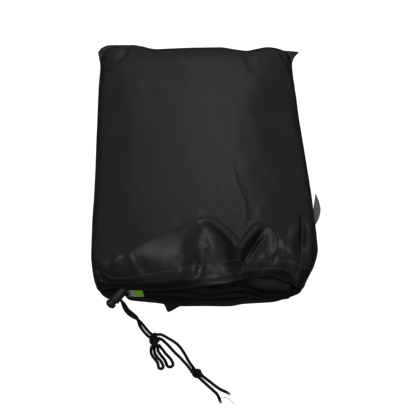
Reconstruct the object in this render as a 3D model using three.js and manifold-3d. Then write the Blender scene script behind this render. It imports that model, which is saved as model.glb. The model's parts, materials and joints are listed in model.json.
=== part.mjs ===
// All-terrain vehicle cover, folded and packed in its drawstring storage sack.
// Millimetres, +Z up, +Y from the open mouth to the closed end. The sack lies on Z = 0.

import * as THREE from 'three';
import { mergeVertices } from 'three/addons/utils/BufferGeometryUtils.js';
import Module from 'manifold-3d';

const wasm = await Module();
wasm.setup();

// Middle of the sack, cover and labels, seen from above
const MIDDLE = { x: 4.5, y: -2.5 };

// Driving sizes of the sack
const CLOTH = 1.5;
const MOUTH_Y = -152;
const SACK_LENGTH = 298;
const SEAM_Y = MOUTH_Y + SACK_LENGTH;
const HEM = { width: 21, puff: 0.75, lead: 5, nose: 1.2 };
const SECTION = { sidePower: 3.2, crownPower: 2.6, halfWidth: 110, crown: 36, camber: 4.5 };
const CORNER_SWELL = { depth: 7, reach: 75 };
const FAR_END = { start: 40, topPower: 6, floorPower: 4, crownPower: 1.5, flat: 1.8, slit: 0.3, inset: 3 };
const FLOOR = { power: 1.5, root: 3, spread: 1.12 };
const TOP_SEGMENTS = 44;
const FLOOR_SEGMENTS = 10;

// Sack stations along its length: half widths to left and right, crown height, flank height
const STATIONS = [
  { y: -152, left: 103, right: 95, crown: 44, flank: 8 },
  { y: -143, left: 107, right: 99, crown: 48, flank: 12 },
  { y: -134, left: 109.5, right: 104, crown: 53, flank: 17 },
  { y: -122, left: 110.8, right: 110, crown: 60, flank: 22 },
  { y: -104, left: 111.7, right: 114, crown: 61, flank: 26 },
  { y: -80, left: 111.5, right: 113.2, crown: 61.5, flank: 27 },
  { y: -45, left: 110.4, right: 112.2, crown: 62, flank: 28 },
  { y: 5, left: 110, right: 110, crown: 62, flank: 28 },
  { y: 55, left: 109.8, right: 107.8, crown: 60.5, flank: 28 },
  { y: 100, left: 109.6, right: 107, crown: 58.5, flank: 28 },
  { y: 124, left: 108.4, right: 106.6, crown: 57, flank: 28 },
  { y: 134, left: 109.8, right: 108.4, crown: 56, flank: 28.5 },
  { y: 146, left: 111.4, right: 115.5, crown: 56, flank: 29 },
];

// Ring spacing: how far from the lip each band of rings reaches, and its number of steps
const RING_BANDS = [
  { reach: 21, steps: 4 },
  { reach: 46, steps: 6 },
  { reach: 74, steps: 5 },
  { reach: 112, steps: 4 },
  { reach: 232, steps: 5 },
  { reach: 283, steps: 4 },
  { reach: 298, steps: 3 },
];

// Upper lip of the mouth, from left to right: its height, and where it lies along the sack
const UPPER_LIP = [
  { x: -99, height: 18, y: -141.5 },
  { x: -88, height: 20, y: -142 },
  { x: -79, height: 21, y: -144 },
  { x: -66, height: 21.5, y: -147 },
  { x: -45, height: 22.4, y: -149.1 },
  { x: -30, height: 24, y: -149.7 },
  { x: 5, height: 26, y: -147.2 },
  { x: 18, height: 26.5, y: -146.5 },
  { x: 32, height: 31, y: -145.2 },
  { x: 55, height: 34.6, y: -142.7 },
  { x: 68, height: 36, y: -141 },
  { x: 76, height: 35, y: -141 },
  { x: 83, height: 33, y: -145 },
  { x: 90, height: 32, y: -149.5 },
  { x: 95, height: 31, y: -148 },
];

// Lower lip, which lies on the surface and steps back where the cord lock sits
const LOWER_LIP = [
  { x: -103, y: -143 },
  { x: -97, y: -147 },
  { x: -90, y: -149.3 },
  { x: -87, y: -148.5 },
  { x: -84.5, y: -141.5 },
  { x: -81, y: -142 },
  { x: -76, y: -147.5 },
  { x: -60, y: -150.3 },
  { x: -45, y: -152.5 },
  { x: -30, y: -156 },
  { x: 0, y: -157 },
  { x: 24, y: -158 },
  { x: 38, y: -156 },
  { x: 66, y: -155 },
  { x: 81, y: -151.5 },
  { x: 95, y: -148 },
];

// Line of the hem's stitches on the upper cloth
const HEM_LINE = [
  { x: -109, y: -129 },
  { x: -96, y: -136.5 },
  { x: -84, y: -140.5 },
  { x: -67, y: -141.3 },
  { x: -48, y: -140.4 },
  { x: -32, y: -139.5 },
  { x: -20, y: -137.3 },
  { x: -4, y: -134.4 },
  { x: 16, y: -133 },
  { x: 33, y: -133.8 },
  { x: 47, y: -132.9 },
  { x: 74, y: -132.8 },
  { x: 91, y: -135 },
  { x: 99, y: -137.3 },
  { x: 107, y: -134 },
];

// Shape of the fall from the top edge to the lip: the lower its power, the more it bulges
const SLOPE_SHAPE = [
  { x: -95, power: 0.5 },
  { x: -60, power: 0.47 },
  { x: -30, power: 0.48 },
  { x: 12, power: 0.6 },
  { x: 30, power: 0.7 },
  { x: 60, power: 0.62 },
  { x: 90, power: 0.5 },
];

// The ring that follows the edge of the flat top, and the ring from which they all run straight
const EDGE_RING = { along: 46, to: 112, reach: 21, flankFrom: 0.86 };

// Edge of the flat top, in front of which the cloth falls to the lip
const TOP_EDGE = [
  { x: -110, y: -141 },
  { x: -92, y: -134 },
  { x: -69, y: -122 },
  { x: -42, y: -110 },
  { x: -22, y: -101 },
  { x: -2, y: -93 },
  { x: 18, y: -109 },
  { x: 34, y: -127 },
  { x: 44, y: -117 },
  { x: 54, y: -105 },
  { x: 62, y: -101 },
  { x: 70, y: -107 },
  { x: 77, y: -116 },
  { x: 86, y: -111 },
  { x: 96, y: -98 },
  { x: 112, y: -92 },
];

// Far seam: how far each place stands out from the seam's own line, the ears at both corners
const FAR_SEAM = [
  { x: -112, out: 3, rise: 1 },
  { x: -107, out: 10, rise: 2 },
  { x: -98, out: 12.5, rise: 3 },
  { x: -72, out: 11.5, rise: 3 },
  { x: -60, out: 7.5, rise: 1 },
  { x: -50, out: 2, rise: 0 },
  { x: -42, out: 0, rise: 0 },
  { x: -18, out: 0.8, rise: 0 },
  { x: 26, out: 0, rise: 0 },
  { x: 45, out: -4, rise: 0 },
  { x: 56, out: -5.5, rise: 0 },
  { x: 66, out: -3, rise: 0 },
  { x: 80, out: 0, rise: 1 },
  { x: 95, out: -2, rise: 2 },
  { x: 105, out: -4, rise: 5 },
  { x: 116, out: -7, rise: 9 },
];

// Main folds of the upper cloth: line on the cloth, half width, and height (trough below zero)
const FOLDS = [
  { name: 'long_crease', half: 9, rise: -1.8, line: [[33, -22], [44, -68], [46, -96], [35, -123]] },
  { name: 'arch_left', half: 9, rise: 1.4, line: [[-66, -120], [-38, -106], [-4, -93]] },
  { name: 'arch_right', half: 8, rise: 2.3, line: [[-2, -93], [10, -96], [21, -107], [35, -125]] },
  { name: 'arch_hollow', half: 11, rise: -4.4, line: [[1, -105], [10, -113], [19, -125], [25, -135]] },
  { name: 'arch_inner', half: 10, rise: 1.4, line: [[-3, -96], [-20, -113], [-22, -133]] },
  { name: 'pucker_middle', half: 7, rise: 1.8, line: [[-1, -111], [4, -120]] },
  { name: 'pucker_left', half: 7, rise: 2, line: [[-18, -129], [-6, -130], [-8, -144]] },
  { name: 'pucker_right', half: 7, rise: 1.6, line: [[13, -126], [6, -131]] },
  { name: 'hem_puff', half: 8, rise: 2, line: [[-25, -140], [-20, -145]] },
  { name: 'loop_left', half: 7, rise: 3.2, line: [[34, -133], [41, -122], [50, -110], [58, -103]] },
  { name: 'loop_right', half: 7, rise: 2, line: [[60, -102], [70, -114], [69, -124]] },
  { name: 'loop_hollow', half: 7, rise: -3.6, line: [[54, -109], [43, -126], [32, -142]] },
  { name: 'dart_left', half: 7, rise: -1.8, line: [[76, -124], [70, -129], [65, -135]] },
  { name: 'dart_right', half: 7, rise: -1.6, line: [[76, -124], [81, -130], [84, -134]] },
  { name: 'right_pleat', half: 7, rise: -3.4, line: [[101, -88], [98, -112], [92, -134]] },
  { name: 'right_swell', half: 8, rise: 2.2, line: [[104, -95], [104, -110], [102, -125]] },
  { name: 'left_pucker', half: 7, rise: 1.8, line: [[-72, -122], [-68, -131], [-62, -141]] },
  { name: 'left_dent', half: 7, rise: -2, line: [[-60, -133], [-53, -138]] },
  { name: 'left_swell', half: 8, rise: 1.8, line: [[-85, -124], [-87, -134]] },
  { name: 'left_crease', half: 7, rise: -1.6, line: [[-105, -128], [-101, -135], [-94, -140]] },
  { name: 'far_ridge', half: 8, rise: 1.4, line: [[-38, 121], [-21, 100], [-3, 74]] },
  { name: 'far_crease', half: 8, rise: -1.6, line: [[-52, 135], [-40, 111], [-28, 79]] },
  { name: 'ear_crease', half: 8, rise: -1.8, line: [[-110, 121], [-93, 113], [-78, 132]] },
  { name: 'far_dip', half: 9, rise: -1.6, line: [[55, 126], [59, 97]] },
  { name: 'right_far_pucker', half: 7, rise: -1.6, line: [[93, 133], [97, 117]] },
];

// Folded cover: layers of the folded strip, and how full each layer is
const LAYERS = 8;
const LAYER_FILL = 0.72;
const LAYER_PLACES = [0, 0.3, 0.7, 1];
const LOWEST_PLACES = [0, 0.02, 0.045, 0.08, 0.15, 0.4, 0.75, 1];
const BEND_STEPS = 4;
const BEND_DEPTH = 3.2;
const BEND_TIP = (1 + LAYER_FILL) * BEND_DEPTH;
const COVER_GAP = { floor: 0.5, floorAtEnd: 3, top: 5.5, topAtMouth: 4.6, foldsTo: -70 };

// Sides of the cover along the sack
const COVER_SIDES = [
  { y: -152, left: -71, right: 84 },
  { y: -138, left: -72, right: 87 },
  { y: -126, left: -86, right: 91 },
  { y: -100, left: -95, right: 96 },
  { y: 0, left: -96, right: 95 },
  { y: 90, left: -92, right: 90 },
  { y: 120, left: -79, right: 77 },
];

// Ends of the cover's folds, by the number of the lower layer: left, middle, right
const COVER_FOLDS = [
  { layer: 0, left: 118, middle: 123, right: 117 },
  { layer: 1, left: -147.5, middle: -154.5, right: -152 },
  { layer: 2, left: 120, middle: 125, right: 119 },
  { layer: 3, left: -146, middle: -151, right: -148 },
  { layer: 4, left: 118, middle: 124, right: 120 },
  { layer: 5, left: -143.5, middle: -146, right: -146 },
  { layer: 6, left: 116, middle: 120, right: 115 },
  { layer: 7, left: -136, middle: -135, right: -136 },
];

// Free front edge of the lowest layer, with the loose corner that hangs over the lower lip
const LOOSE_EDGE = [
  { x: -71, y: -145 },
  { x: -55, y: -148.5 },
  { x: -44, y: -152.5 },
  { x: -41, y: -156 },
  { x: -37.3, y: -164 },
  { x: -30, y: -160.5 },
  { x: -21, y: -156.8 },
  { x: -8, y: -152.5 },
  { x: 10, y: -151.5 },
  { x: 40, y: -151.5 },
  { x: 62, y: -150 },
  { x: 74, y: -148 },
  { x: 85, y: -145.5 },
];

// Front of the lower lip, in front of which the loose corner hangs down
const LIP_FRONT = -157.6;

// Rounded roll of the cover at the right of the mouth: the layers swell apart there
const ROLL = { left: 34, right: 92, back: -112, low: 5 / 8, high: 7 / 8, lowAt: 0.3, highAt: 0.96 };

// Cord lock
const LOCK = {
  head: new THREE.Vector3(-92.1, -153.7, 5.65),
  axis: new THREE.Vector3(0.671, 0.686, 0.28).normalize(),
  barrelRadius: 5.5,
  barrelStart: 2.8,
  barrelEnd: 19.5,
  boreRadius: 4.3,
  boreEnd: 18,
  round: 0.8,
  holeAt: 7.4,
  holeRadius: 3.5,
  buttonRadius: 5.2,
  buttonBack: -5.2,
  buttonFront: 0.5,
  stemRadius: 4,
  stemEnd: 15.4,
  slotHeight: 6.7,
  slotWidth: 3.8,
  travel: 2,
};

// Drawcord, 2.8 mm braid. Routes chosen by hand, in the order of the cord's run.
const CORD = { radius: 1.4, halfSides: 4, step: 5.6, bightStep: 4, gap: 0.5 };
const CORD_ROUTES = [
  {
    name: 'cord_a_lead',
    points: [
      [-94.2, -142.3, 9.16], [-91.7, -144.7, 9.16], [-87.4, -148.9, 9.16], [-82.2, -154.0, 9.2],
      [-80.6, -157.3, 7.6], [-79.9, -160.6, 4.3], [-78.2, -163.9, 2.0], [-75.2, -167.1, 1.8],
      [-71.4, -170.4, 3.6], [-67.0, -173.2, 5.1], [-62.8, -175.4, 3.8], [-60.2, -178.2, 1.8],
      [-57.4, -182.2, 1.5], [-54.7, -185.8, 1.9], [-51.8, -188.7, 2.9],
    ],
  },
  {
    name: 'cord_b_lead',
    points: [
      [-94.4, -140.9, 6.18], [-91.1, -144.1, 6.18], [-86.8, -148.3, 6.18], [-81.6, -153.3, 6.0],
      [-79.1, -156.2, 3.8], [-77.3, -159.6, 2.0], [-74.8, -162.6, 1.5], [-71.4, -165.8, 1.5],
      [-68.3, -169.6, 1.5], [-66.6, -173.6, 1.5], [-65.2, -177.9, 1.5], [-62.6, -182.0, 1.5],
      [-59.8, -185.6, 1.5], [-56.9, -188.6, 1.8], [-53.9, -191.6, 2.8],
    ],
  },
  {
    name: 'cord_a_bight',
    step: CORD.bightStep,
    points: [
      [-46.6, -199.4, 4.9], [-44.4, -202.0, 4.0], [-42.2, -204.5, 2.8], [-39.6, -207.9, 1.6],
      [-36.6, -211.4, 1.5], [-34.2, -214.8, 1.5], [-33.1, -217.5, 1.5], [-33.1, -219.7, 1.5],
      [-34.6, -221.2, 1.5], [-36.8, -221.2, 1.6], [-38.3, -219.7, 2.1], [-38.8, -217.4, 2.9],
      [-40.3, -214.6, 3.4], [-43.4, -210.4, 3.2], [-46.3, -205.6, 2.6], [-47.4, -200.6, 2.1],
    ],
  },
  {
    name: 'cord_b_bight',
    step: CORD.bightStep,
    points: [
      [-53.0, -200.0, 3.9], [-53.8, -203.6, 2.4], [-53.6, -207.0, 1.5], [-51.8, -210.6, 1.5],
      [-49.3, -214.2, 1.5], [-47.6, -217.2, 1.5], [-47.0, -219.6, 1.5], [-46.6, -221.6, 1.5],
      [-45.1, -222.9, 1.5], [-43.1, -222.6, 1.5], [-41.9, -221.0, 1.5], [-42.1, -218.9, 1.5],
      [-44.1, -215.0, 1.5], [-47.2, -211.2, 1.5], [-49.8, -206.4, 1.5], [-50.6, -200.8, 1.6],
    ],
  },
  {
    name: 'cord_a_middle',
    points: [
      [-47.6, -188.9, 4.5], [-45.0, -188.4, 3.9], [-41.6, -189.2, 2.6], [-37.3, -191.6, 1.5],
      [-33.1, -194.4, 1.5], [-29.4, -197.4, 1.5], [-26.2, -201.0, 1.5], [-23.0, -206.0, 1.5],
      [-20.4, -210.9, 1.5], [-18.4, -215.2, 1.5], [-16.0, -219.5, 1.8], [-13.2, -224.2, 3.0],
    ],
  },
  {
    name: 'cord_b_middle',
    points: [
      [-47.0, -191.2, 1.9], [-43.2, -193.0, 1.7], [-39.9, -196.2, 1.5], [-37.0, -199.4, 1.5],
      [-31.5, -206.2, 1.5], [-25.8, -212.5, 1.5], [-21.5, -217.8, 1.5], [-18.8, -221.4, 1.8],
      [-16.4, -225.4, 2.6],
    ],
  },
  {
    name: 'cord_a_end',
    points: [
      [-7.2, -230.4, 2.8], [-3.4, -233.4, 1.8], [1.4, -237.4, 1.5], [7.0, -242.4, 1.5],
      [11.6, -245.8, 1.5], [17.2, -248.8, 1.5],
    ],
  },
  {
    name: 'cord_b_end',
    points: [
      [-9.2, -232.8, 2.8], [-5.6, -236.4, 1.8], [-0.8, -241.2, 1.5], [4.4, -246.4, 1.5],
      [8.2, -250.8, 1.5], [10.4, -256.8, 1.5],
    ],
  },
];

// Knots: lump length, width and height, and the number of wraps that show on them
const KNOTS = [
  {
    name: 'knot_upper', x: -50.4, y: -194.6, z: 3.9,
    turn: -84, length: 15.5, width: 9.4, height: 7.2, wraps: 3,
  },
  {
    name: 'knot_lower', x: -10.8, y: -229.4, z: 3.9,
    turn: -40, length: 13, width: 9.2, height: 7, wraps: 2,
  },
];

// Length of the socket round the end of each strand, and the smallest detail kept in a knot
const KNOT_SOCKET = 6;
const KNOT_GRAIN = 0.05;

// Labels
const MOUTH_LABEL = { left: -76, right: -60, top: 20, bottom: 10.5, lean: 2.6, y: -151.7, thick: 1 };
const SIDE_LABEL = { x: 113.3, y: -66, z: 28, thick: 1 };

// A smooth curve through one column of a table, without overshoot between its rows
function curveThrough(rows, at, value) {
  const slope = rows.slice(1).map((row, i) => (row[value] - rows[i][value]) / (row[at] - rows[i][at]));
  const lean = rows.map((row, i) => {
    if (i === 0) return slope[0];
    if (i === rows.length - 1) return slope[i - 1];
    const before = slope[i - 1];
    const after = slope[i];
    return before * after <= 0 ? 0 : (2 * before * after) / (before + after);
  });
  return (x) => {
    if (x <= rows[0][at]) return rows[0][value];
    if (x >= rows[rows.length - 1][at]) return rows[rows.length - 1][value];
    const i = rows.findIndex((row) => row[at] > x) - 1;
    const span = rows[i + 1][at] - rows[i][at];
    const t = (x - rows[i][at]) / span;
    const rest = 1 - t;
    return rows[i][value] * (1 + 2 * t) * rest * rest
      + rows[i + 1][value] * t * t * (3 - 2 * t)
      + span * t * rest * (lean[i] * rest - lean[i + 1] * t);
  };
}

const clamp01 = (value) => Math.min(1, Math.max(0, value));
const ease = (value) => clamp01(value) ** 2 * (3 - 2 * clamp01(value));
const mix = THREE.MathUtils.lerp;

const leftHalf = curveThrough(STATIONS, 'y', 'left');
const rightHalf = curveThrough(STATIONS, 'y', 'right');
const crownAt = curveThrough(STATIONS, 'y', 'crown');
const flankAt = curveThrough(STATIONS, 'y', 'flank');
const lipHeight = curveThrough(UPPER_LIP, 'x', 'height');
const upperLipY = curveThrough(UPPER_LIP, 'x', 'y');
const lowerLipY = curveThrough(LOWER_LIP, 'x', 'y');
const hemLineY = curveThrough(HEM_LINE, 'x', 'y');
const slopePower = curveThrough(SLOPE_SHAPE, 'x', 'power');
const topEdgeY = curveThrough(TOP_EDGE, 'x', 'y');
const seamOut = curveThrough(FAR_SEAM, 'x', 'out');
const seamRise = curveThrough(FAR_SEAM, 'x', 'rise');

// Height of the filled section across the sack, 1 in the middle and 0 at its flanks
function fullness(across, power) {
  return Math.max(0, 1 - across) ** (1 / power);
}

// Height of a fold over the flat cloth at one place
function foldHeight(x, y) {
  let height = 0;
  for (const fold of FOLDS) {
    const last = fold.line.length - 1;
    let nearest = Infinity;
    let along = 0;
    for (let i = 0; i < last; i += 1) {
      const [ax, ay] = fold.line[i];
      const [bx, by] = fold.line[i + 1];
      const t = clamp01(((x - ax) * (bx - ax) + (y - ay) * (by - ay)) / ((bx - ax) ** 2 + (by - ay) ** 2));
      const away = Math.hypot(x - mix(ax, bx, t), y - mix(ay, by, t));
      if (away < nearest) {
        nearest = away;
        along = (i + t) / last;
      }
    }
    if (nearest < fold.half) {
      const taper = ease(5 * along) * ease(5 * (1 - along));
      height += fold.rise * mix(0.45, 1, taper) * Math.cos((Math.PI / 2) * (nearest / fold.half)) ** 2;
    }
  }
  return height;
}

// How far a place is inside the filled shape: below 1 it is filled, from 1 on it is flat cloth
function fillShare(across, x, y, endPower) {
  const end = SEAM_Y + Math.min(0, seamOut(x));
  const along = Math.max(0, y - FAR_END.start) / (end - FAR_END.start);
  return Math.abs(across) ** SECTION.sidePower + along ** endPower;
}

// Fullness of the upper cloth, which comes down more gently at the far end
function topFullness(across, x, y) {
  const nearEnd = ease((y - FAR_END.start) / (SEAM_Y - FAR_END.start));
  const power = mix(SECTION.crownPower, FAR_END.crownPower, nearEnd);
  return fullness(fillShare(across, x, y, FAR_END.topPower), power);
}

// Crown height at one place: the flat top, or the slope from its edge down to the lip
function crownHeight(x, y) {
  const lip = upperLipY(x);
  const edge = topEdgeY(x);
  const crown = crownAt(Math.max(y, edge)) - SECTION.camber * (x / SECTION.halfWidth) ** 2;
  const climb = clamp01((y - lip) / (edge - lip)) ** slopePower(x);
  return mix(lipHeight(x), crown, mix(climb, ease(climb), 0.35));
}

// How far back the upper cloth lies at one place: its rings follow the stitches and the top edge
function upperRun(x, along, plain) {
  const { along: edgeAlong, to, reach } = EDGE_RING;
  if (along >= to) return plain;
  const lip = upperLipY(x);
  const stitches = hemLineY(x);
  const straight = MOUTH_Y + edgeAlong;
  const edge = straight + THREE.MathUtils.clamp(topEdgeY(x) - straight, -reach, reach);
  if (along <= HEM.width) return mix(lip, stitches, along / HEM.width);
  if (along <= edgeAlong) return mix(stitches, edge, (along - HEM.width) / (edgeAlong - HEM.width));
  return mix(edge, MOUTH_Y + to, (along - edgeAlong) / (to - edgeAlong));
}

// One point of the sack's cloth. across runs from 1 at the right flank to -1 at the left.
function sackPoint(across, upper, along, inner) {
  const station = MOUTH_Y + Math.max(0, along);
  const cloth = inner ? CLOTH : 0;
  const half = across >= 0 ? rightHalf(station) : leftHalf(station);
  let x = across * half;
  const nearMouth = 1 - ease((station - MOUTH_Y) / 60);
  const nearEnd = ease((station - 96) / (SEAM_Y - 96));
  const lipY = upper ? upperLipY(x) : lowerLipY(x);
  const swell = CORNER_SWELL.depth * Math.sin(Math.PI * clamp01(along / CORNER_SWELL.reach));
  let y = station + nearMouth * (lipY - MOUTH_Y) - swell;
  if (upper) {
    const onFlank = ease((Math.abs(across) - EDGE_RING.flankFrom) / (1 - EDGE_RING.flankFrom));
    y = mix(upperRun(x, Math.max(0, along), y), y, onFlank);
  }
  y += nearEnd * seamOut(x) + Math.min(0, along);
  const flank = flankAt(station) + nearEnd * seamRise(x);
  const edge = Math.abs(across) === 1 ? 0 : 1;
  const hemShare = clamp01((HEM.width - along) / HEM.width) > 0 ? 1 : 0;
  const roundHem = (Math.PI * (Math.max(0, along) + HEM.lead)) / (HEM.width + HEM.lead);
  const puff = hemShare * HEM.puff * Math.sin(roundHem);
  const flat = edge * (inner ? FAR_END.slit : FAR_END.flat);
  const outward = inner ? -puff : puff;
  let z;
  if (upper) {
    const full = topFullness(across, x, y);
    const crown = crownHeight(x, y) - flank;
    z = flank + Math.max(flat, (crown - cloth) * full);
    const lean = new THREE.Vector2(
      (SECTION.sidePower * Math.abs(across) ** (SECTION.sidePower - 1)) / half,
      (SECTION.crownPower * full ** (SECTION.crownPower - 1) + 0.02) / Math.max(4, crown),
    ).normalize();
    const push = outward + edge * ease(4 * full) * foldHeight(x, y);
    x += Math.sign(across) * lean.x * push - across * cloth;
    z += lean.y * push * edge;
  } else {
    const share = fillShare(across, x, y, FAR_END.floorPower);
    const full = FLOOR.spread * fullness(Math.min(1, share) ** FLOOR.power, FLOOR.root);
    const rise = Math.max(0, 1 - full) * flank;
    const hollow = inner ? CLOTH * (1 - rise / flank) + puff : 0;
    z = edge ? Math.min(flank - flat, rise + hollow) : flank;
    x += Math.sign(across) * (edge ? Math.abs(across) ** 8 : 1) * outward - across * cloth;
  }
  return new THREE.Vector3(x, y, z);
}

// Places across the upper cloth, evenly spaced over a typical section
function evenlyAcross(count) {
  const fine = 600;
  const walk = [{ across: 1, length: 0 }];
  let last = new THREE.Vector2(SECTION.halfWidth, 0);
  for (let i = 1; i <= fine; i += 1) {
    const across = Math.cos((Math.PI * i) / fine);
    const full = fullness(Math.abs(across) ** SECTION.sidePower, SECTION.crownPower);
    const next = new THREE.Vector2(across * SECTION.halfWidth, full * SECTION.crown);
    walk.push({ across, length: walk[i - 1].length + next.distanceTo(last) });
    last = next;
  }
  const total = walk[fine].length;
  const places = [];
  for (let k = 0; k <= count; k += 1) {
    const target = (total * k) / count;
    places.push(walk.find((step) => step.length >= target - 1e-9)?.across ?? -1);
  }
  places[0] = 1;
  places[count] = -1;
  return places;
}

function ringDistances() {
  const distances = [0];
  for (const band of RING_BANDS) {
    const from = distances[distances.length - 1];
    for (let i = 1; i <= band.steps; i += 1) distances.push(mix(from, band.reach, i / band.steps));
  }
  return distances;
}

function geometryFrom(points, faces) {
  const geometry = new THREE.BufferGeometry();
  const places = points.flatMap((p) => [p.x, p.y, p.z]);
  geometry.setAttribute('position', new THREE.Float32BufferAttribute(places, 3));
  geometry.setIndex(faces.flat());
  return geometry;
}

// Faces that close a thin ring: its upper and lower edges are joined from right to left
function closeRing(start, places, floorPlaces, flip) {
  const upper = places.map((across, k) => ({ across, index: start + k }));
  const lower = [upper[0]];
  for (let k = floorPlaces.length - 1; k >= 0; k -= 1) {
    lower.push({ across: floorPlaces[k], index: start + places.length + k });
  }
  lower.push(upper[upper.length - 1]);
  const faces = [];
  let i = 0;
  let j = 0;
  while (i < upper.length - 1 || j < lower.length - 1) {
    const stepUpper = j === lower.length - 1
      || (i < upper.length - 1 && upper[i + 1].across >= lower[j + 1].across);
    const third = stepUpper ? upper[i + 1].index : lower[j + 1].index;
    const face = [upper[i].index, lower[j].index, third];
    if (new Set(face).size === 3) faces.push(flip ? face.reverse() : face);
    if (stepUpper) i += 1;
    else j += 1;
  }
  return faces;
}

// The sack: one cloth from the closed end inside, round the lip, to the closed end outside
function sackGeometry() {
  const places = evenlyAcross(TOP_SEGMENTS);
  const floorPlaces = [];
  for (let k = 1; k < FLOOR_SEGMENTS; k += 1) {
    floorPlaces.push(Math.sin((Math.PI / 2) * ((2 * k) / FLOOR_SEGMENTS - 1)));
  }
  const distances = ringDistances();
  const rings = distances.slice(0, -1).reverse().map((along) => ({ along, inner: true }));
  rings[0].along = SACK_LENGTH - FAR_END.inset;
  rings.push({ along: -HEM.nose, nose: true });
  rings.push(...distances.map((along) => ({ along, inner: false })));
  const points = [];
  for (const ring of rings) {
    const ringPoint = (across, upper) => {
      if (!ring.nose) return sackPoint(across, upper, ring.along, ring.inner);
      const outer = sackPoint(across, upper, ring.along, false);
      return outer.add(sackPoint(across, upper, ring.along, true)).multiplyScalar(0.5);
    };
    for (const across of places) points.push(ringPoint(across, true));
    for (const across of floorPlaces) points.push(ringPoint(across, false));
  }
  const around = places.length + floorPlaces.length;
  const faces = [];
  for (let r = 0; r < rings.length - 1; r += 1) {
    for (let k = 0; k < around; k += 1) {
      const a = r * around + k;
      const d = r * around + ((k + 1) % around);
      faces.push([a, a + around, d + around], [a, d + around, d]);
    }
  }
  faces.push(...closeRing(0, places, floorPlaces, true));
  faces.push(...closeRing((rings.length - 1) * around, places, floorPlaces, false));
  return geometryFrom(points, faces);
}

// Room that the sack leaves for the cover at one place: lowest and highest height
function roomFor(x, y) {
  const half = (x >= 0 ? rightHalf(y) : leftHalf(y)) - 2 * CLOTH;
  const across = x / half;
  const flank = flankAt(y);
  const top = topFullness(across, x, y);
  const below = FLOOR.spread
    * fullness(Math.min(1, fillShare(across, x, y, FAR_END.floorPower)) ** FLOOR.power, FLOOR.root);
  const nearMouth = 1 - ease((y - MOUTH_Y) / 60);
  const inHem = 1 - ease((y - MOUTH_Y - HEM.width) / 8);
  const floor = Math.max(0, 1 - below) * flank + CLOTH + inHem * 2 * HEM.puff
    + mix(COVER_GAP.floor, COVER_GAP.floorAtEnd, ease((y - 85) / 30));
  const gap = CLOTH + mix(COVER_GAP.top, COVER_GAP.topAtMouth, nearMouth);
  const dent = y < COVER_GAP.foldsTo ? Math.min(0, foldHeight(x, y)) : 0;
  const crown = crownHeight(x, Math.max(y, upperLipY(x)));
  return { floor, top: flank + (crown - flank) * top - gap + dent };
}

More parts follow.
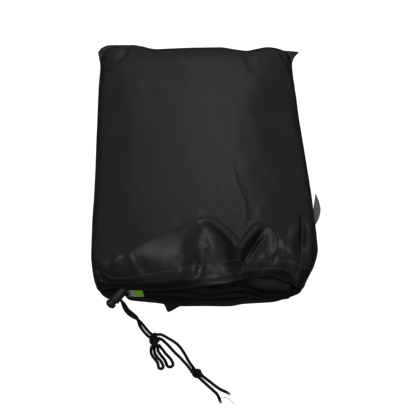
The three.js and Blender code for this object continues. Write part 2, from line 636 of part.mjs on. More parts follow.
// The folded cover: one strip, laid back and forth in the sack from the bottom up
function coverGeometry() {
  const leftSide = curveThrough(COVER_SIDES, 'y', 'left');
  const rightSide = curveThrough(COVER_SIDES, 'y', 'right');
  const looseEdge = curveThrough(LOOSE_EDGE, 'x', 'y');
  const acrossSack = LOOSE_EDGE.map((row) => (row.x - LOOSE_EDGE[0].x)
    / (LOOSE_EDGE[LOOSE_EDGE.length - 1].x - LOOSE_EDGE[0].x));

  // Where one fold ends, seen across the sack
  const foldEnd = (layer, share) => {
    if (layer < 0) return looseEdge(mix(COVER_SIDES[0].left, COVER_SIDES[0].right, share));
    const fold = COVER_FOLDS[layer];
    const tip = share < 0.5
      ? mix(fold.left, fold.middle, 2 * share)
      : mix(fold.middle, fold.right, 2 * share - 1);
    return layer === LAYERS - 1 ? tip : tip - Math.sign(tip) * BEND_TIP;
  };

  // Nodes along the strip: place in the run, height in layers, and the way its upper face looks
  const nodes = [];
  for (let layer = 0; layer < LAYERS; layer += 1) {
    const away = layer % 2 === 0;
    for (const share of layer === 0 ? LOWEST_PLACES : LAYER_PLACES) {
      nodes.push({ layer, share, level: layer + 0.5, bend: 0, out: 0, face: away ? 1 : -1 });
    }
    if (layer < LAYERS - 1) {
      for (let i = 1; i < BEND_STEPS; i += 1) {
        const turn = (Math.PI * i) / BEND_STEPS;
        const way = away ? 1 : -1;
        nodes.push({
          layer,
          share: 1,
          level: layer + 1 - 0.5 * Math.cos(turn),
          bend: 0.5 * Math.sin(turn) * way,
          out: -Math.sin(turn),
          face: Math.cos(turn) * way,
        });
      }
    }
  }

  const place = (node, share, side) => {
    const half = (side * LAYER_FILL) / 2;
    const start = foldEnd(node.layer - 1, share);
    const end = foldEnd(node.layer, share);
    const outward = node.bend + node.out * half;
    const y = mix(start, end, node.share) + outward * 2 * BEND_DEPTH;
    const reach = THREE.MathUtils.clamp(y, MOUTH_Y, COVER_SIDES[COVER_SIDES.length - 1].y);
    const x = mix(leftSide(reach), rightSide(reach), share);
    const room = roomFor(x, Math.max(y, MOUTH_Y + 3));
    let level = (node.level + node.face * half) / LAYERS;
    const inRoll = ease((x - ROLL.left) / 14) * ease((ROLL.right - x) / 8)
      * ease((ROLL.back - y) / 22);
    level = mix(level, rollLevel(level), inRoll);
    const z = mix(room.floor, room.top, level);
    const hang = node.layer === 0 ? ease((LIP_FRONT - y) / 5) : 0;
    const drop = mix(0, room.floor - 0.7, hang);
    return new THREE.Vector3(x, y, z - drop);
  };

  const points = [];
  const count = acrossSack.length;
  for (const side of [1, -1]) {
    for (const node of nodes) {
      for (const share of acrossSack) points.push(place(node, share, side));
    }
  }
  const upper = (m, i) => m * count + i;
  const lower = (m, i) => (nodes.length + m) * count + i;
  const faces = [];
  const quad = (a, b, c, d) => faces.push([a, b, c], [a, c, d]);
  const last = nodes.length - 1;
  for (let m = 0; m < last; m += 1) {
    for (let i = 0; i < count - 1; i += 1) {
      quad(upper(m, i), upper(m, i + 1), upper(m + 1, i + 1), upper(m + 1, i));
      quad(lower(m, i), lower(m + 1, i), lower(m + 1, i + 1), lower(m, i + 1));
    }
    quad(lower(m, 0), upper(m, 0), upper(m + 1, 0), lower(m + 1, 0));
    quad(lower(m, count - 1), lower(m + 1, count - 1), upper(m + 1, count - 1), upper(m, count - 1));
  }
  for (let i = 0; i < count - 1; i += 1) {
    quad(lower(0, i), lower(0, i + 1), upper(0, i + 1), upper(0, i));
    quad(upper(last, i), upper(last, i + 1), lower(last, i + 1), lower(last, i));
  }
  return geometryFrom(points, faces);
}

// Heights inside the roll: the layers below it pack closer and its own two open up
function rollLevel(level) {
  if (level < ROLL.low) return (level / ROLL.low) * ROLL.lowAt;
  if (level < ROLL.high) return mix(ROLL.lowAt, ROLL.highAt, (level - ROLL.low) / (ROLL.high - ROLL.low));
  return mix(ROLL.highAt, 1, (level - ROLL.high) / (1 - ROLL.high));
}

// Solids for cutting and joining
function toSolid(geometry) {
  const bare = geometry.clone();
  bare.deleteAttribute('normal');
  bare.deleteAttribute('uv');
  const merged = mergeVertices(bare, 1e-4);
  return new wasm.Manifold(new wasm.Mesh({
    numProp: 3,
    vertProperties: new Float32Array(merged.attributes.position.array),
    triVerts: new Uint32Array(merged.index.array),
  }));
}

function fromSolid(solid) {
  const mesh = solid.getMesh();
  const geometry = new THREE.BufferGeometry();
  geometry.setAttribute('position', new THREE.BufferAttribute(new Float32Array(mesh.vertProperties), 3));
  geometry.setIndex(new THREE.BufferAttribute(new Uint32Array(mesh.triVerts), 1));
  return geometry;
}

// A round cord along a route
function cordGeometry(points, radius, step = CORD.step) {
  const route = new THREE.CatmullRomCurve3(points.map((p) => new THREE.Vector3(...p)), false, 'centripetal');
  const circle = new THREE.Shape();
  circle.absarc(0, 0, radius, 0, 2 * Math.PI, false);
  return new THREE.ExtrudeGeometry(circle, {
    steps: Math.max(3, Math.round(route.getLength() / step)),
    curveSegments: CORD.halfSides,
    extrudePath: route,
  });
}

// Cord lock parts are turned about their own axis, then laid in place
const lockTurn = new THREE.Quaternion().setFromRotationMatrix(new THREE.Matrix4().makeBasis(
  new THREE.Vector3(LOCK.axis.y, -LOCK.axis.x, 0).normalize(),
  new THREE.Vector3().crossVectors(LOCK.axis, new THREE.Vector3(LOCK.axis.y, -LOCK.axis.x, 0).normalize()),
  LOCK.axis,
));

function turned(profile, segments) {
  const points = profile.map(([radius, along]) => new THREE.Vector2(radius, along));
  return new THREE.LatheGeometry(points, segments).rotateX(Math.PI / 2);
}

function barrelGeometry() {
  const { barrelRadius, barrelStart, barrelEnd, boreRadius, boreEnd, round } = LOCK;
  const body = toSolid(turned([
    [0, boreEnd], [boreRadius, boreEnd], [boreRadius, barrelStart], [barrelRadius - round, barrelStart],
    [barrelRadius, barrelStart + round], [barrelRadius, barrelEnd - round],
    [barrelRadius - round, barrelEnd], [0, barrelEnd],
  ], 18));
  const hole = new THREE.CylinderGeometry(LOCK.holeRadius, LOCK.holeRadius, 4 * barrelRadius, 14)
    .rotateZ(Math.PI / 2)
    .translate(0, 0, LOCK.holeAt);
  return fromSolid(body.subtract(toSolid(hole)));
}

function plungerGeometry() {
  const { buttonRadius, buttonBack, buttonFront, stemRadius, stemEnd, round } = LOCK;
  const dome = [];
  const domeDepth = 3.4;
  for (let i = 0; i <= 5; i += 1) {
    const turn = (Math.PI / 2) * (i / 5);
    dome.push([buttonRadius * Math.sin(turn), buttonBack + domeDepth * (1 - Math.cos(turn))]);
  }
  const body = toSolid(turned([
    ...dome, [buttonRadius, buttonFront - round / 2], [buttonRadius - round / 2, buttonFront],
    [stemRadius, buttonFront], [stemRadius, stemEnd], [0, stemEnd],
  ], 18));
  const slot = new THREE.BoxGeometry(4 * stemRadius, LOCK.slotHeight, LOCK.slotWidth + LOCK.travel)
    .translate(0, 0, LOCK.holeAt - LOCK.travel / 2);
  return fromSolid(body.subtract(toSolid(slot)));
}

// A knot: a rounded lump with the cord's wraps standing out, cut clear of the strands
function knotGeometry(knot) {
  const rings = 10;
  const sides = 12;
  const points = [[0, -knot.length / 2]];
  for (let i = 1; i < rings; i += 1) {
    const turn = (Math.PI * i) / rings;
    const wrap = 1 + 0.09 * Math.sin(turn) * Math.cos((2 * Math.PI * knot.wraps * i) / rings);
    points.push([Math.sin(turn) ** 0.6 * wrap, (-Math.cos(turn) * knot.length) / 2]);
  }
  points.push([0, knot.length / 2]);
  const outline = points.map(([radius, along]) => new THREE.Vector2(radius, along));
  const lump = new THREE.LatheGeometry(outline, sides)
    .rotateZ(-Math.PI / 2)
    .scale(1, knot.width / 2, knot.height / 2)
    .rotateZ(THREE.MathUtils.degToRad(knot.turn))
    .translate(knot.x, knot.y, knot.z);
  let solid = toSolid(lump);
  for (const { points } of CORD_ROUTES) {
    const last = points.length - 1;
    solid = solid.subtract(toSolid(socketFor(points[0], points[1])));
    solid = solid.subtract(toSolid(socketFor(points[last], points[last - 1])));
  }
  return fromSolid(solid.simplify(KNOT_GRAIN));
}

// The socket that a knot leaves round one end of a strand
function socketFor(end, next) {
  const radius = (CORD.radius + CORD.gap) / Math.cos(Math.PI / (2 * CORD.halfSides));
  const foot = new THREE.Vector3(...end);
  const way = new THREE.Vector3(...next).sub(foot).normalize();
  const middle = foot.clone().addScaledVector(way, KNOT_SOCKET / 2 - CORD.gap);
  return new THREE.CylinderGeometry(radius, radius, KNOT_SOCKET, 2 * CORD.halfSides)
    .applyQuaternion(new THREE.Quaternion().setFromUnitVectors(new THREE.Vector3(0, 1, 0), way))
    .translate(middle.x, middle.y, middle.z);
}

// Mouth label: a short woven strip that leans against the cover's folds
function mouthLabelGeometry() {
  const { left, right, top, bottom, lean, y, thick } = MOUTH_LABEL;
  const side = new THREE.Shape();
  side.moveTo(y - lean / 2, bottom);
  side.quadraticCurveTo(y - lean * 0.1, (top + bottom) / 2 - 1, y + lean / 2, top);
  side.lineTo(y + lean / 2 + thick, top - 0.3);
  side.quadraticCurveTo(y - lean * 0.1 + thick, (top + bottom) / 2 - 1.5, y - lean / 2 + thick, bottom);
  side.closePath();
  const across = { depth: right - left, steps: 4, curveSegments: 5, bevelEnabled: false };
  return new THREE.ExtrudeGeometry(side, across)
    .applyMatrix4(new THREE.Matrix4().makeBasis(
      new THREE.Vector3(0, 1, 0), new THREE.Vector3(0, 0, 1), new THREE.Vector3(1, 0, 0)))
    .translate(left, 0, 0);
}

// Side label: a small leaf of thin cloth sewn into the right seam by its lower half
function sideLabelGeometry() {
  const leaf = new THREE.Shape();
  leaf.moveTo(0.6, -19.5);
  leaf.quadraticCurveTo(9, -8, 7.8, 3);
  leaf.quadraticCurveTo(7, 12, 4.9, 18);
  leaf.quadraticCurveTo(3.4, 8, 0.9, 0);
  leaf.closePath();
  const through = { depth: SIDE_LABEL.thick, steps: 1, curveSegments: 7, bevelEnabled: false };
  return new THREE.ExtrudeGeometry(leaf, through)
    .rotateY(THREE.MathUtils.degToRad(-12))
    .translate(SIDE_LABEL.x, SIDE_LABEL.y, SIDE_LABEL.z);
}

// Finishes
const finish = (color, roughness) => new THREE.MeshStandardMaterial({ color, roughness, metalness: 0 });
const coatedCloth = finish(0x2b2d2e, 0.45);
const coverCloth = finish(0x202223, 0.5);
const braid = finish(0x161616, 0.85);
const lockPlastic = finish(0x1c1c1d, 0.4);
const wovenLabel = finish(0x5f8f35, 0.8);
const plainLabel = finish(0x6e7072, 0.6);

const group = new THREE.Group();

function addMesh(name, geometry, material, parent = group) {
  const mesh = new THREE.Mesh(geometry, material);
  mesh.name = name;
  parent.add(mesh);
  return mesh;
}

addMesh('sack', sackGeometry(), coatedCloth);
addMesh('folded_cover', coverGeometry(), coverCloth);
addMesh('mouth_label', mouthLabelGeometry(), wovenLabel);
addMesh('side_label', sideLabelGeometry(), plainLabel);

const lock = new THREE.Group();
lock.position.copy(LOCK.head);
lock.quaternion.copy(lockTurn);
group.add(lock);
addMesh('toggle_barrel', barrelGeometry(), lockPlastic, lock);
addMesh('toggle_plunger', plungerGeometry(), lockPlastic, lock);

for (const route of CORD_ROUTES) {
  addMesh(route.name, cordGeometry(route.points, CORD.radius, route.step), braid);
}
for (const knot of KNOTS) addMesh(knot.name, knotGeometry(knot), braid);

// The origin is under the middle of the sack, cover and labels together
group.position.set(-MIDDLE.x, -MIDDLE.y, 0);

export default group;
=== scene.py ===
import bisect
import json
import math
import random

import bmesh
import bpy
from mathutils import Matrix, Quaternion, Vector, noise
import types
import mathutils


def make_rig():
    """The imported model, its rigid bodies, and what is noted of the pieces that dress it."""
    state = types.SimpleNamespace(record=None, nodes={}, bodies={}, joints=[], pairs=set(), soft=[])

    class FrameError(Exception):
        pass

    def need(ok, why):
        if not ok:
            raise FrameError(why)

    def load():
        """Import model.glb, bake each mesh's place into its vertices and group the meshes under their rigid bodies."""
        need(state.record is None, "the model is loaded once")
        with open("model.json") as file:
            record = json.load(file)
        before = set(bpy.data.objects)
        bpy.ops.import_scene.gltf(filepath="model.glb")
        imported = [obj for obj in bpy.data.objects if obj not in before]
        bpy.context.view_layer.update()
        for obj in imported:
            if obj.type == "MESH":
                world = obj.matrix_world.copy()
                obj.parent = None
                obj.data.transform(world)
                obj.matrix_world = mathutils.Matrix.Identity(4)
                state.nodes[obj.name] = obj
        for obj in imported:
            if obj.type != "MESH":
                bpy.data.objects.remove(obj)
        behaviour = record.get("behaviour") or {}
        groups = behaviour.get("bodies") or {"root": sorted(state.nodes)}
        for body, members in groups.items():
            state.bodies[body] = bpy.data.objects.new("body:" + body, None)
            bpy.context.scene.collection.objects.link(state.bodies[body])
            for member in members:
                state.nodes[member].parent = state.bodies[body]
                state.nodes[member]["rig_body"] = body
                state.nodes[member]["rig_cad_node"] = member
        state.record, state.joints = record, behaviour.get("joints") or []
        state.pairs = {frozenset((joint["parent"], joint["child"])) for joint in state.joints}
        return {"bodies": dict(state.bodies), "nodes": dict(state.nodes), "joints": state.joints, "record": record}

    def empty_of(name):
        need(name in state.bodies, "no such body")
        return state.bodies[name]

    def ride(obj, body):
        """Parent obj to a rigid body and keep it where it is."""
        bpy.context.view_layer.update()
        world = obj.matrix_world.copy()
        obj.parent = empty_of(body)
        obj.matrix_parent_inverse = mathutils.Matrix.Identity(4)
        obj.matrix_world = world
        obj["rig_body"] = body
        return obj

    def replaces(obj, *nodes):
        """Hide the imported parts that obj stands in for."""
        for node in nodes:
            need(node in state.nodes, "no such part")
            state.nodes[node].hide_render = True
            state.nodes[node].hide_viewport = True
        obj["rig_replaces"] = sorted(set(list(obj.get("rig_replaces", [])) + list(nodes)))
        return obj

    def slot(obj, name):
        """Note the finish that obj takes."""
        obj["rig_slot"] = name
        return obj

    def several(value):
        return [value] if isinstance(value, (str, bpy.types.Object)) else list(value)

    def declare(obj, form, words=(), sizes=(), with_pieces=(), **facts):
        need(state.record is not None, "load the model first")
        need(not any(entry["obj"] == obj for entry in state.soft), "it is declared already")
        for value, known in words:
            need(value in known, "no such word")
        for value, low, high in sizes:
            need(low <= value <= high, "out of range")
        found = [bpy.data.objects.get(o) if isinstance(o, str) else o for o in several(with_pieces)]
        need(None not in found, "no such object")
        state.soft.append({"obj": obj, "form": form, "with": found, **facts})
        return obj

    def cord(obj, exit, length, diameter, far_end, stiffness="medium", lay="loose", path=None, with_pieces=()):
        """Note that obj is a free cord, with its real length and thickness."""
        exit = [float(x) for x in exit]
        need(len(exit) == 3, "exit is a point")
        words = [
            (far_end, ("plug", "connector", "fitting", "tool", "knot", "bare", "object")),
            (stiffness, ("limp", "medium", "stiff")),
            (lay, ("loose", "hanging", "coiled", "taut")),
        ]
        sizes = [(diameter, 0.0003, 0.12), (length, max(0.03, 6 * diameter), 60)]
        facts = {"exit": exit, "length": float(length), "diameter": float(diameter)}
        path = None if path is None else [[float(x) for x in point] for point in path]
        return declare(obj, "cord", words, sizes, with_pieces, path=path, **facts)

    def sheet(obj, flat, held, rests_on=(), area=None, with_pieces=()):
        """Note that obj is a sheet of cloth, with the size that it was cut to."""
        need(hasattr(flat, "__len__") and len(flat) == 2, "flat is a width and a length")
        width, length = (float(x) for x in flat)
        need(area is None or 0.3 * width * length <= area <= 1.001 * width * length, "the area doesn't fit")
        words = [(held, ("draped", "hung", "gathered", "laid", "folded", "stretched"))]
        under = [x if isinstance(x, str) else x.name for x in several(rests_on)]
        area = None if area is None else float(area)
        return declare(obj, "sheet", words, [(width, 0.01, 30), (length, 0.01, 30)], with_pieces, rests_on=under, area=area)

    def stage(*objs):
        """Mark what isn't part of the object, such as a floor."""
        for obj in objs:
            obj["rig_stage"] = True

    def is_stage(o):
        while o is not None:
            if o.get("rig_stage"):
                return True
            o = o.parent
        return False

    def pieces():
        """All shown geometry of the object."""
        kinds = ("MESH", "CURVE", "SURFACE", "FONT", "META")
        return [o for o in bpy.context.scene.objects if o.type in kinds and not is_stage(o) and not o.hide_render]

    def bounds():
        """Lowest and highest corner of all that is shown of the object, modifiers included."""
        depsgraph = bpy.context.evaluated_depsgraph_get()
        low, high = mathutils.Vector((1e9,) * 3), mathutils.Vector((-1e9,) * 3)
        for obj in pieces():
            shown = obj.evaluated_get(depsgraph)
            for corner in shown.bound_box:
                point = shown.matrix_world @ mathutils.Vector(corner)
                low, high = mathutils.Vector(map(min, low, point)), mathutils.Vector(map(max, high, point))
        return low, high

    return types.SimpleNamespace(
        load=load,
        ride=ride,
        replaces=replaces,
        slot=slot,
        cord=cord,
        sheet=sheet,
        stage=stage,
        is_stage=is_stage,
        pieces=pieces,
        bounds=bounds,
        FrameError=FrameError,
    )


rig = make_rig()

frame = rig.load()
cad_box = [list(corner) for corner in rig.bounds()]
scene = bpy.context.scene


# Camera: it stands in front of the open mouth, 58 degrees above the floor and one metre away,
# with a long lens, so that the sack and its cord fill the square picture.
camera_turn = math.radians(-2)
camera_tilt = math.radians(58)
camera_aim = Vector((0.00207, -0.0409, 0))
towards_camera = Vector((
    math.sin(camera_turn) * math.cos(camera_tilt),
    -math.cos(camera_turn) * math.cos(camera_tilt),
    math.sin(camera_tilt),
))
lens = bpy.data.cameras.new("camera")
lens.sensor_width = 36
lens.lens = 82.14
camera = bpy.data.objects.new("camera", lens)
camera.location = camera_aim + towards_camera
camera.rotation_euler = towards_camera.to_track_quat("Z", "Y").to_euler()
scene.collection.objects.link(camera)
scene.camera = camera


# Drawcord: one round braid of black polyester, 3 mm thick. Both ends leave the hem at the left
# corner of the mouth, pass the cord lock, and meet in two knots. Each free stretch is one piece.
braid_thickness = 0.003
braid_carriers = 8
braid_pitch = 0.0016
braid_step = 0.0006
cord_routes = {
    "cord_a_lead": (
        (-0.0987, -0.1398, 0.00916), (-0.0962, -0.1422, 0.00916), (-0.0919, -0.1464, 0.00916),
        (-0.0867, -0.1515, 0.00920), (-0.0855, -0.1546, 0.00740), (-0.0840, -0.1577, 0.00420),
        (-0.0814, -0.1609, 0.00210), (-0.0782, -0.1640, 0.00210), (-0.0749, -0.1668, 0.00370),
        (-0.0715, -0.1695, 0.00500), (-0.0681, -0.1724, 0.00370), (-0.0650, -0.1758, 0.00190),
        (-0.0621, -0.1796, 0.00160), (-0.0592, -0.1833, 0.00190), (-0.0563, -0.1862, 0.00290),
    ),
    "cord_b_lead": (
        (-0.0989, -0.1384, 0.00618), (-0.0956, -0.1416, 0.00618), (-0.0913, -0.1458, 0.00618),
        (-0.0861, -0.1508, 0.00600), (-0.0834, -0.1537, 0.00380), (-0.0812, -0.1568, 0.00200),
        (-0.0785, -0.1595, 0.00150), (-0.0752, -0.1625, 0.00150), (-0.0722, -0.1661, 0.00150),
        (-0.0706, -0.1704, 0.00150), (-0.0692, -0.1750, 0.00150), (-0.0668, -0.1790, 0.00150),
        (-0.0642, -0.1828, 0.00150), (-0.0614, -0.1860, 0.00180), (-0.0584, -0.1891, 0.00280),
    ),
    "cord_a_bight": (
        (-0.0511, -0.1969, 0.00490), (-0.0489, -0.1995, 0.00400), (-0.0467, -0.2020, 0.00280),
        (-0.0441, -0.2054, 0.00160), (-0.0411, -0.2089, 0.00150), (-0.0387, -0.2123, 0.00150),
        (-0.0376, -0.2150, 0.00150), (-0.0376, -0.2172, 0.00150), (-0.0391, -0.2187, 0.00150),
        (-0.0415, -0.2188, 0.00160), (-0.0433, -0.2174, 0.00210), (-0.0440, -0.2150, 0.00290),
        (-0.0456, -0.2118, 0.00340), (-0.0487, -0.2075, 0.00320), (-0.0513, -0.2029, 0.00260),
        (-0.0521, -0.1981, 0.00210),
    ),
    "cord_b_bight": (
        (-0.0575, -0.1975, 0.00390), (-0.0583, -0.2011, 0.00240), (-0.0581, -0.2045, 0.00150),
        (-0.0563, -0.2081, 0.00150), (-0.0538, -0.2117, 0.00150), (-0.0521, -0.2147, 0.00150),
        (-0.0515, -0.2171, 0.00150), (-0.0511, -0.2191, 0.00150), (-0.0496, -0.2204, 0.00150),
        (-0.0478, -0.2202, 0.00150), (-0.0469, -0.2185, 0.00150), (-0.0473, -0.2162, 0.00150),
        (-0.0494, -0.2122, 0.00150), (-0.0525, -0.2083, 0.00150), (-0.0548, -0.2036, 0.00150),
        (-0.0553, -0.1983, 0.00160),
    ),
    "cord_a_middle": (
        (-0.0521, -0.1864, 0.00450), (-0.0495, -0.1859, 0.00390), (-0.0461, -0.1867, 0.00260),
        (-0.0418, -0.1891, 0.00150), (-0.0376, -0.1919, 0.00150), (-0.0339, -0.1949, 0.00150),
        (-0.0307, -0.1985, 0.00150), (-0.0275, -0.2035, 0.00150), (-0.0249, -0.2084, 0.00150),
        (-0.0229, -0.2127, 0.00150), (-0.0205, -0.2170, 0.00180), (-0.0177, -0.2217, 0.00300),
    ),
    "cord_b_middle": (
        (-0.0515, -0.1887, 0.00190), (-0.0477, -0.1905, 0.00170), (-0.0444, -0.1937, 0.00150),
        (-0.0415, -0.1969, 0.00150), (-0.0360, -0.2037, 0.00150), (-0.0303, -0.2100, 0.00150),
        (-0.0260, -0.2153, 0.00150), (-0.0233, -0.2189, 0.00180), (-0.0209, -0.2229, 0.00260),
    ),
    "cord_a_end": (
        (-0.0117, -0.2279, 0.00280), (-0.0079, -0.2309, 0.00180), (-0.0031, -0.2349, 0.00150),
        (0.0025, -0.2399, 0.00150), (0.0071, -0.2433, 0.00150), (0.0127, -0.2463, 0.00150),
    ),
    "cord_b_end": (
        (-0.0137, -0.2303, 0.00280), (-0.0101, -0.2339, 0.00180), (-0.0053, -0.2387, 0.00150),
        (-0.0001, -0.2439, 0.00150), (0.0037, -0.2483, 0.00150), (0.0059, -0.2543, 0.00150),
    ),
}


def smooth_route(points, step):
    """Evenly spaced places on the one smooth curve through a cord's route points."""
    route = [Vector(p) for p in points]
    route = [2 * route[0] - route[1]] + route + [2 * route[-1] - route[-2]]
    fine = [route[1]]
    places_between = 24
    for before, start, end, after in zip(route, route[1:], route[2:], route[3:]):
        pairs = ((before, start), (start, end), (end, after))
        gaps = [max(1e-6, (b - a).length ** 0.5) for a, b in pairs]
        lean_in = ((start - before) / gaps[0] - (end - before) / (gaps[0] + gaps[1])
                   + (end - start) / gaps[1]) * gaps[1]
        lean_out = ((end - start) / gaps[1] - (after - start) / (gaps[1] + gaps[2])
                    + (after - end) / gaps[2]) * gaps[1]
        for i in range(1, places_between + 1):
            t = i / places_between
            fine.append(start * (2 * t ** 3 - 3 * t ** 2 + 1) + end * (3 * t ** 2 - 2 * t ** 3)
                        + lean_in * (t ** 3 - 2 * t ** 2 + t) + lean_out * (t ** 3 - t ** 2))
    return even_steps(fine, step)


def even_steps(line, step):
    """The same line, walked in equal steps."""
    walked = [0]
    for a, b in zip(line, line[1:]):
        walked.append(walked[-1] + (b - a).length)
    count = max(2, round(walked[-1] / step))
    even, k = [], 0
    for i in range(count + 1):
        target = walked[-1] * i / count
        while k < len(line) - 2 and walked[k + 1] < target:
            k += 1
        share = (target - walked[k]) / max(1e-9, walked[k + 1] - walked[k])
        even.append(line[k].lerp(line[k + 1], min(1, share)))
    return even


def woven_grid(columns, rows, place, other_side=None):
    """A grid of cloth whose every crossing lies where place(column, row) says. Where the last function gives 1, the
    finish gives the cloth another colour, which is painted shade or painted light."""
    cloth = bmesh.new()
    cloth.loops.layers.uv.new("UVMap")
    shown = cloth.verts.layers.float.new("other_side")
    bmesh.ops.create_grid(cloth, x_segments=columns, y_segments=rows, size=1, calc_uvs=True)
    for crossing in cloth.verts:
        column = round((crossing.co.x + 1) / 2 * columns)
        row = round((crossing.co.y + 1) / 2 * rows)
        crossing.co = place(column, row)
        crossing[shown] = other_side(column, row) if other_side else 0
    return cloth


def cord_tube(line, radius_at, sides=20):
    """A round cord along a line: its grid is rolled round the line and closed at both ends."""
    last = len(line) - 1
    ways = [(line[min(i + 1, last)] - line[max(i - 1, 0)]).normalized() for i in range(last + 1)]
    across = ways[0].orthogonal().normalized()
    frames = []
    for i, way in enumerate(ways):
        if i:
            across = ways[i - 1].rotation_difference(way) @ across
        across = (across - across.dot(way) * way).normalized()
        frames.append((across.copy(), way.cross(across)))

    def place(column, row):
        angle = 2 * math.pi * column / sides
        side, up = frames[row]
        return line[row] + radius_at(row, angle) * (math.cos(angle) * side + math.sin(angle) * up)

    tube = woven_grid(sides, last, place)
    length = sum((b - a).length for a, b in zip(line, line[1:]))
    uv = tube.loops.layers.uv.active
    for face in tube.faces:
        for loop in face.loops:
            loop[uv].uv.y *= length / braid_pitch
    bmesh.ops.remove_doubles(tube, verts=tube.verts, dist=1e-6)
    bmesh.ops.holes_fill(tube, edges=[e for e in tube.edges if e.is_boundary], sides=0)
    bmesh.ops.recalc_face_normals(tube, faces=tube.faces)
    return tube


def finished_piece(name, made, finish, body, slot):
    """A modelled piece with its finish, riding on its body."""
    mesh = bpy.data.meshes.new(name)
    made.to_mesh(mesh)
    made.free()
    mesh.materials.append(finish)
    mesh.shade_smooth()
    piece = bpy.data.objects.new(name, mesh)
    scene.collection.objects.link(piece)
    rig.ride(piece, body)
    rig.slot(piece, slot)
    return piece


class Value:
    """A number that changes over a surface: a node's socket, worked on with Python's operators."""

    def __init__(self, finish, socket):
        self.finish, self.socket = finish, socket

    def maths(self, operation, *values, **settings):
        settings["operation"] = operation
        return self.finish.node("ShaderNodeMath", settings, dict(enumerate(values)))

    def __add__(self, other):
        return self.maths("ADD", self, other)

    def __sub__(self, other):
        return self.maths("SUBTRACT", self, other)

    def __rsub__(self, other):
        return self.maths("SUBTRACT", other, self)

    def __mul__(self, other):
        return self.maths("MULTIPLY", self, other)

    __radd__ = __add__
    __rmul__ = __mul__

    def clipped(self):
        return self.maths("ADD", self, 0, use_clamp=True)


class Finish:
    """A procedural finish: a material, its shader's plain values, and the nodes that vary it."""

    def __init__(self, name, **plain):
        self.material = bpy.data.materials.new(name)
        self.material.use_nodes = True
        self.tree = self.material.node_tree
        self.shader = self.tree.nodes["Principled BSDF"]
        for socket, value in plain.items():
            self.shader.inputs[socket.replace("_", " ")].default_value = value

    def node(self, kind, settings=None, sockets=None, output=0):
        """Any other node: its type, its settings, and the values or links of its sockets."""
        made = self.tree.nodes.new(kind)
        for setting, value in (settings or {}).items():
            setattr(made, setting, value)
        for socket, value in (sockets or {}).items():
            if isinstance(value, Value):
                self.tree.links.new(value.socket, made.inputs[socket])
            else:
                made.inputs[socket].default_value = value
        return Value(self, made.outputs[output])

    def feed(self, **values):
        """Links what varies to the shader, and gives the finished material."""
        for socket, value in values.items():
            self.tree.links.new(value.socket, self.shader.inputs[socket.replace("_", " ")])
        return self.material

    def place(self):
        return self.node("ShaderNodeTexCoord", output="Object")

    def grain(self, scale, detail=2, roughness=0.5, stretch=(1, 1, 1)):
        """Cloudy noise from 0 to 1, its lumps one over scale metres wide."""
        scaled = self.node("ShaderNodeMapping", {}, {"Vector": self.place(), "Scale": stretch})
        return self.node("ShaderNodeTexNoise", {}, {
            "Vector": scaled, "Scale": scale, "Detail": detail, "Roughness": roughness})

    def blend(self, share, dark, light):
        """Between two colours by a share."""
        sockets = {0: share, 6: dark, 7: light}
        return self.node("ShaderNodeMix", {"data_type": "RGBA"}, sockets, output=2)

    def relief(self, height, depth, under=None, strength=1):
        """Small height on the surface, depth metres from low to high."""
        sockets = {"Height": height, "Distance": depth, "Strength": strength}
        if under is not None:
            sockets["Normal"] = under
        return self.node("ShaderNodeBump", {}, sockets)


def tone(value, warm=1.0, cool=1.0):
    """A near grey colour from its brightness, a little warmer or cooler."""
    return (value * warm, value, value * cool, 1)


def braid_finish():
    """Carriers of fine black yarn, plaited one over one: two sets of helical ribs that cross."""
    finish = Finish("black_braid", Specular_IOR_Level=0.25, Sheen_Weight=0.12, Sheen_Roughness=0.5)
    finish.shader.inputs["Sheen Tint"].default_value = tone(0.2)
    own = finish.node("ShaderNodeUVMap", {"uv_map": "UVMap"})
    round_share = finish.node("ShaderNodeSeparateXYZ", {}, {0: own}, output=0)
    run = finish.node("ShaderNodeSeparateXYZ", {}, {0: own}, output=1)
    right = round_share * braid_carriers + run * 0.5
    left = round_share * braid_carriers - run * 0.5 + 400
    over = finish.node("ShaderNodeMath", {"operation": "MODULO"}, {
        0: right.maths("FLOOR", right) + left.maths("FLOOR", left), 1: 2})
    crest_right = right.maths("FRACT", right) * math.pi
    crest_left = left.maths("FRACT", left) * math.pi
    rib_right = crest_right.maths("SINE", crest_right)
    rib_left = crest_left.maths("SINE", crest_left)
    strand = (over * rib_right * (rib_left * 0.4 + 0.6)
              + (1 - over) * rib_left * (rib_right * 0.4 + 0.6))
    fibres = finish.grain(9000, detail=3)
    relief = finish.relief(strand + fibres * 0.3, 0.00025)
    # Darker where a carrier dips under the other and between the ribs: painted shade; the fibre grain adds a random
    # tone.
    colour = finish.blend((strand * 0.7 + fibres * 0.3).clipped(), tone(0.001), tone(0.009))
    rough = 0.86 - strand * 0.14
    return finish.feed(Base_Color=colour, Roughness=rough, Normal=relief)


black_braid = braid_finish()


def braid_radius(row, angle):
    """The braid's radius, a little uneven where its carriers cross."""
    return braid_thickness / 2 * (1 + 0.02 * math.sin(braid_carriers * angle / 2 + row * 0.9))


cord_lines = {name: smooth_route(points, braid_step) for name, points in cord_routes.items()}
cord_pieces = {}
for name, line in cord_lines.items():
    braid = cord_tube(line, braid_radius)
    cord_pieces[name] = finished_piece(name + "_braid", braid, black_braid, "pack", "braid")


# Knots: both strands of the drawcord tied together twice, an overhand knot each time. The cord
# wraps three times round itself in each knot and is drawn tight.
def join_into(whole, part):
    """Adds one mesh to another."""
    mesh = bpy.data.meshes.new("part")
    part.to_mesh(mesh)
    part.free()
    whole.from_mesh(mesh)
    bpy.data.meshes.remove(mesh)


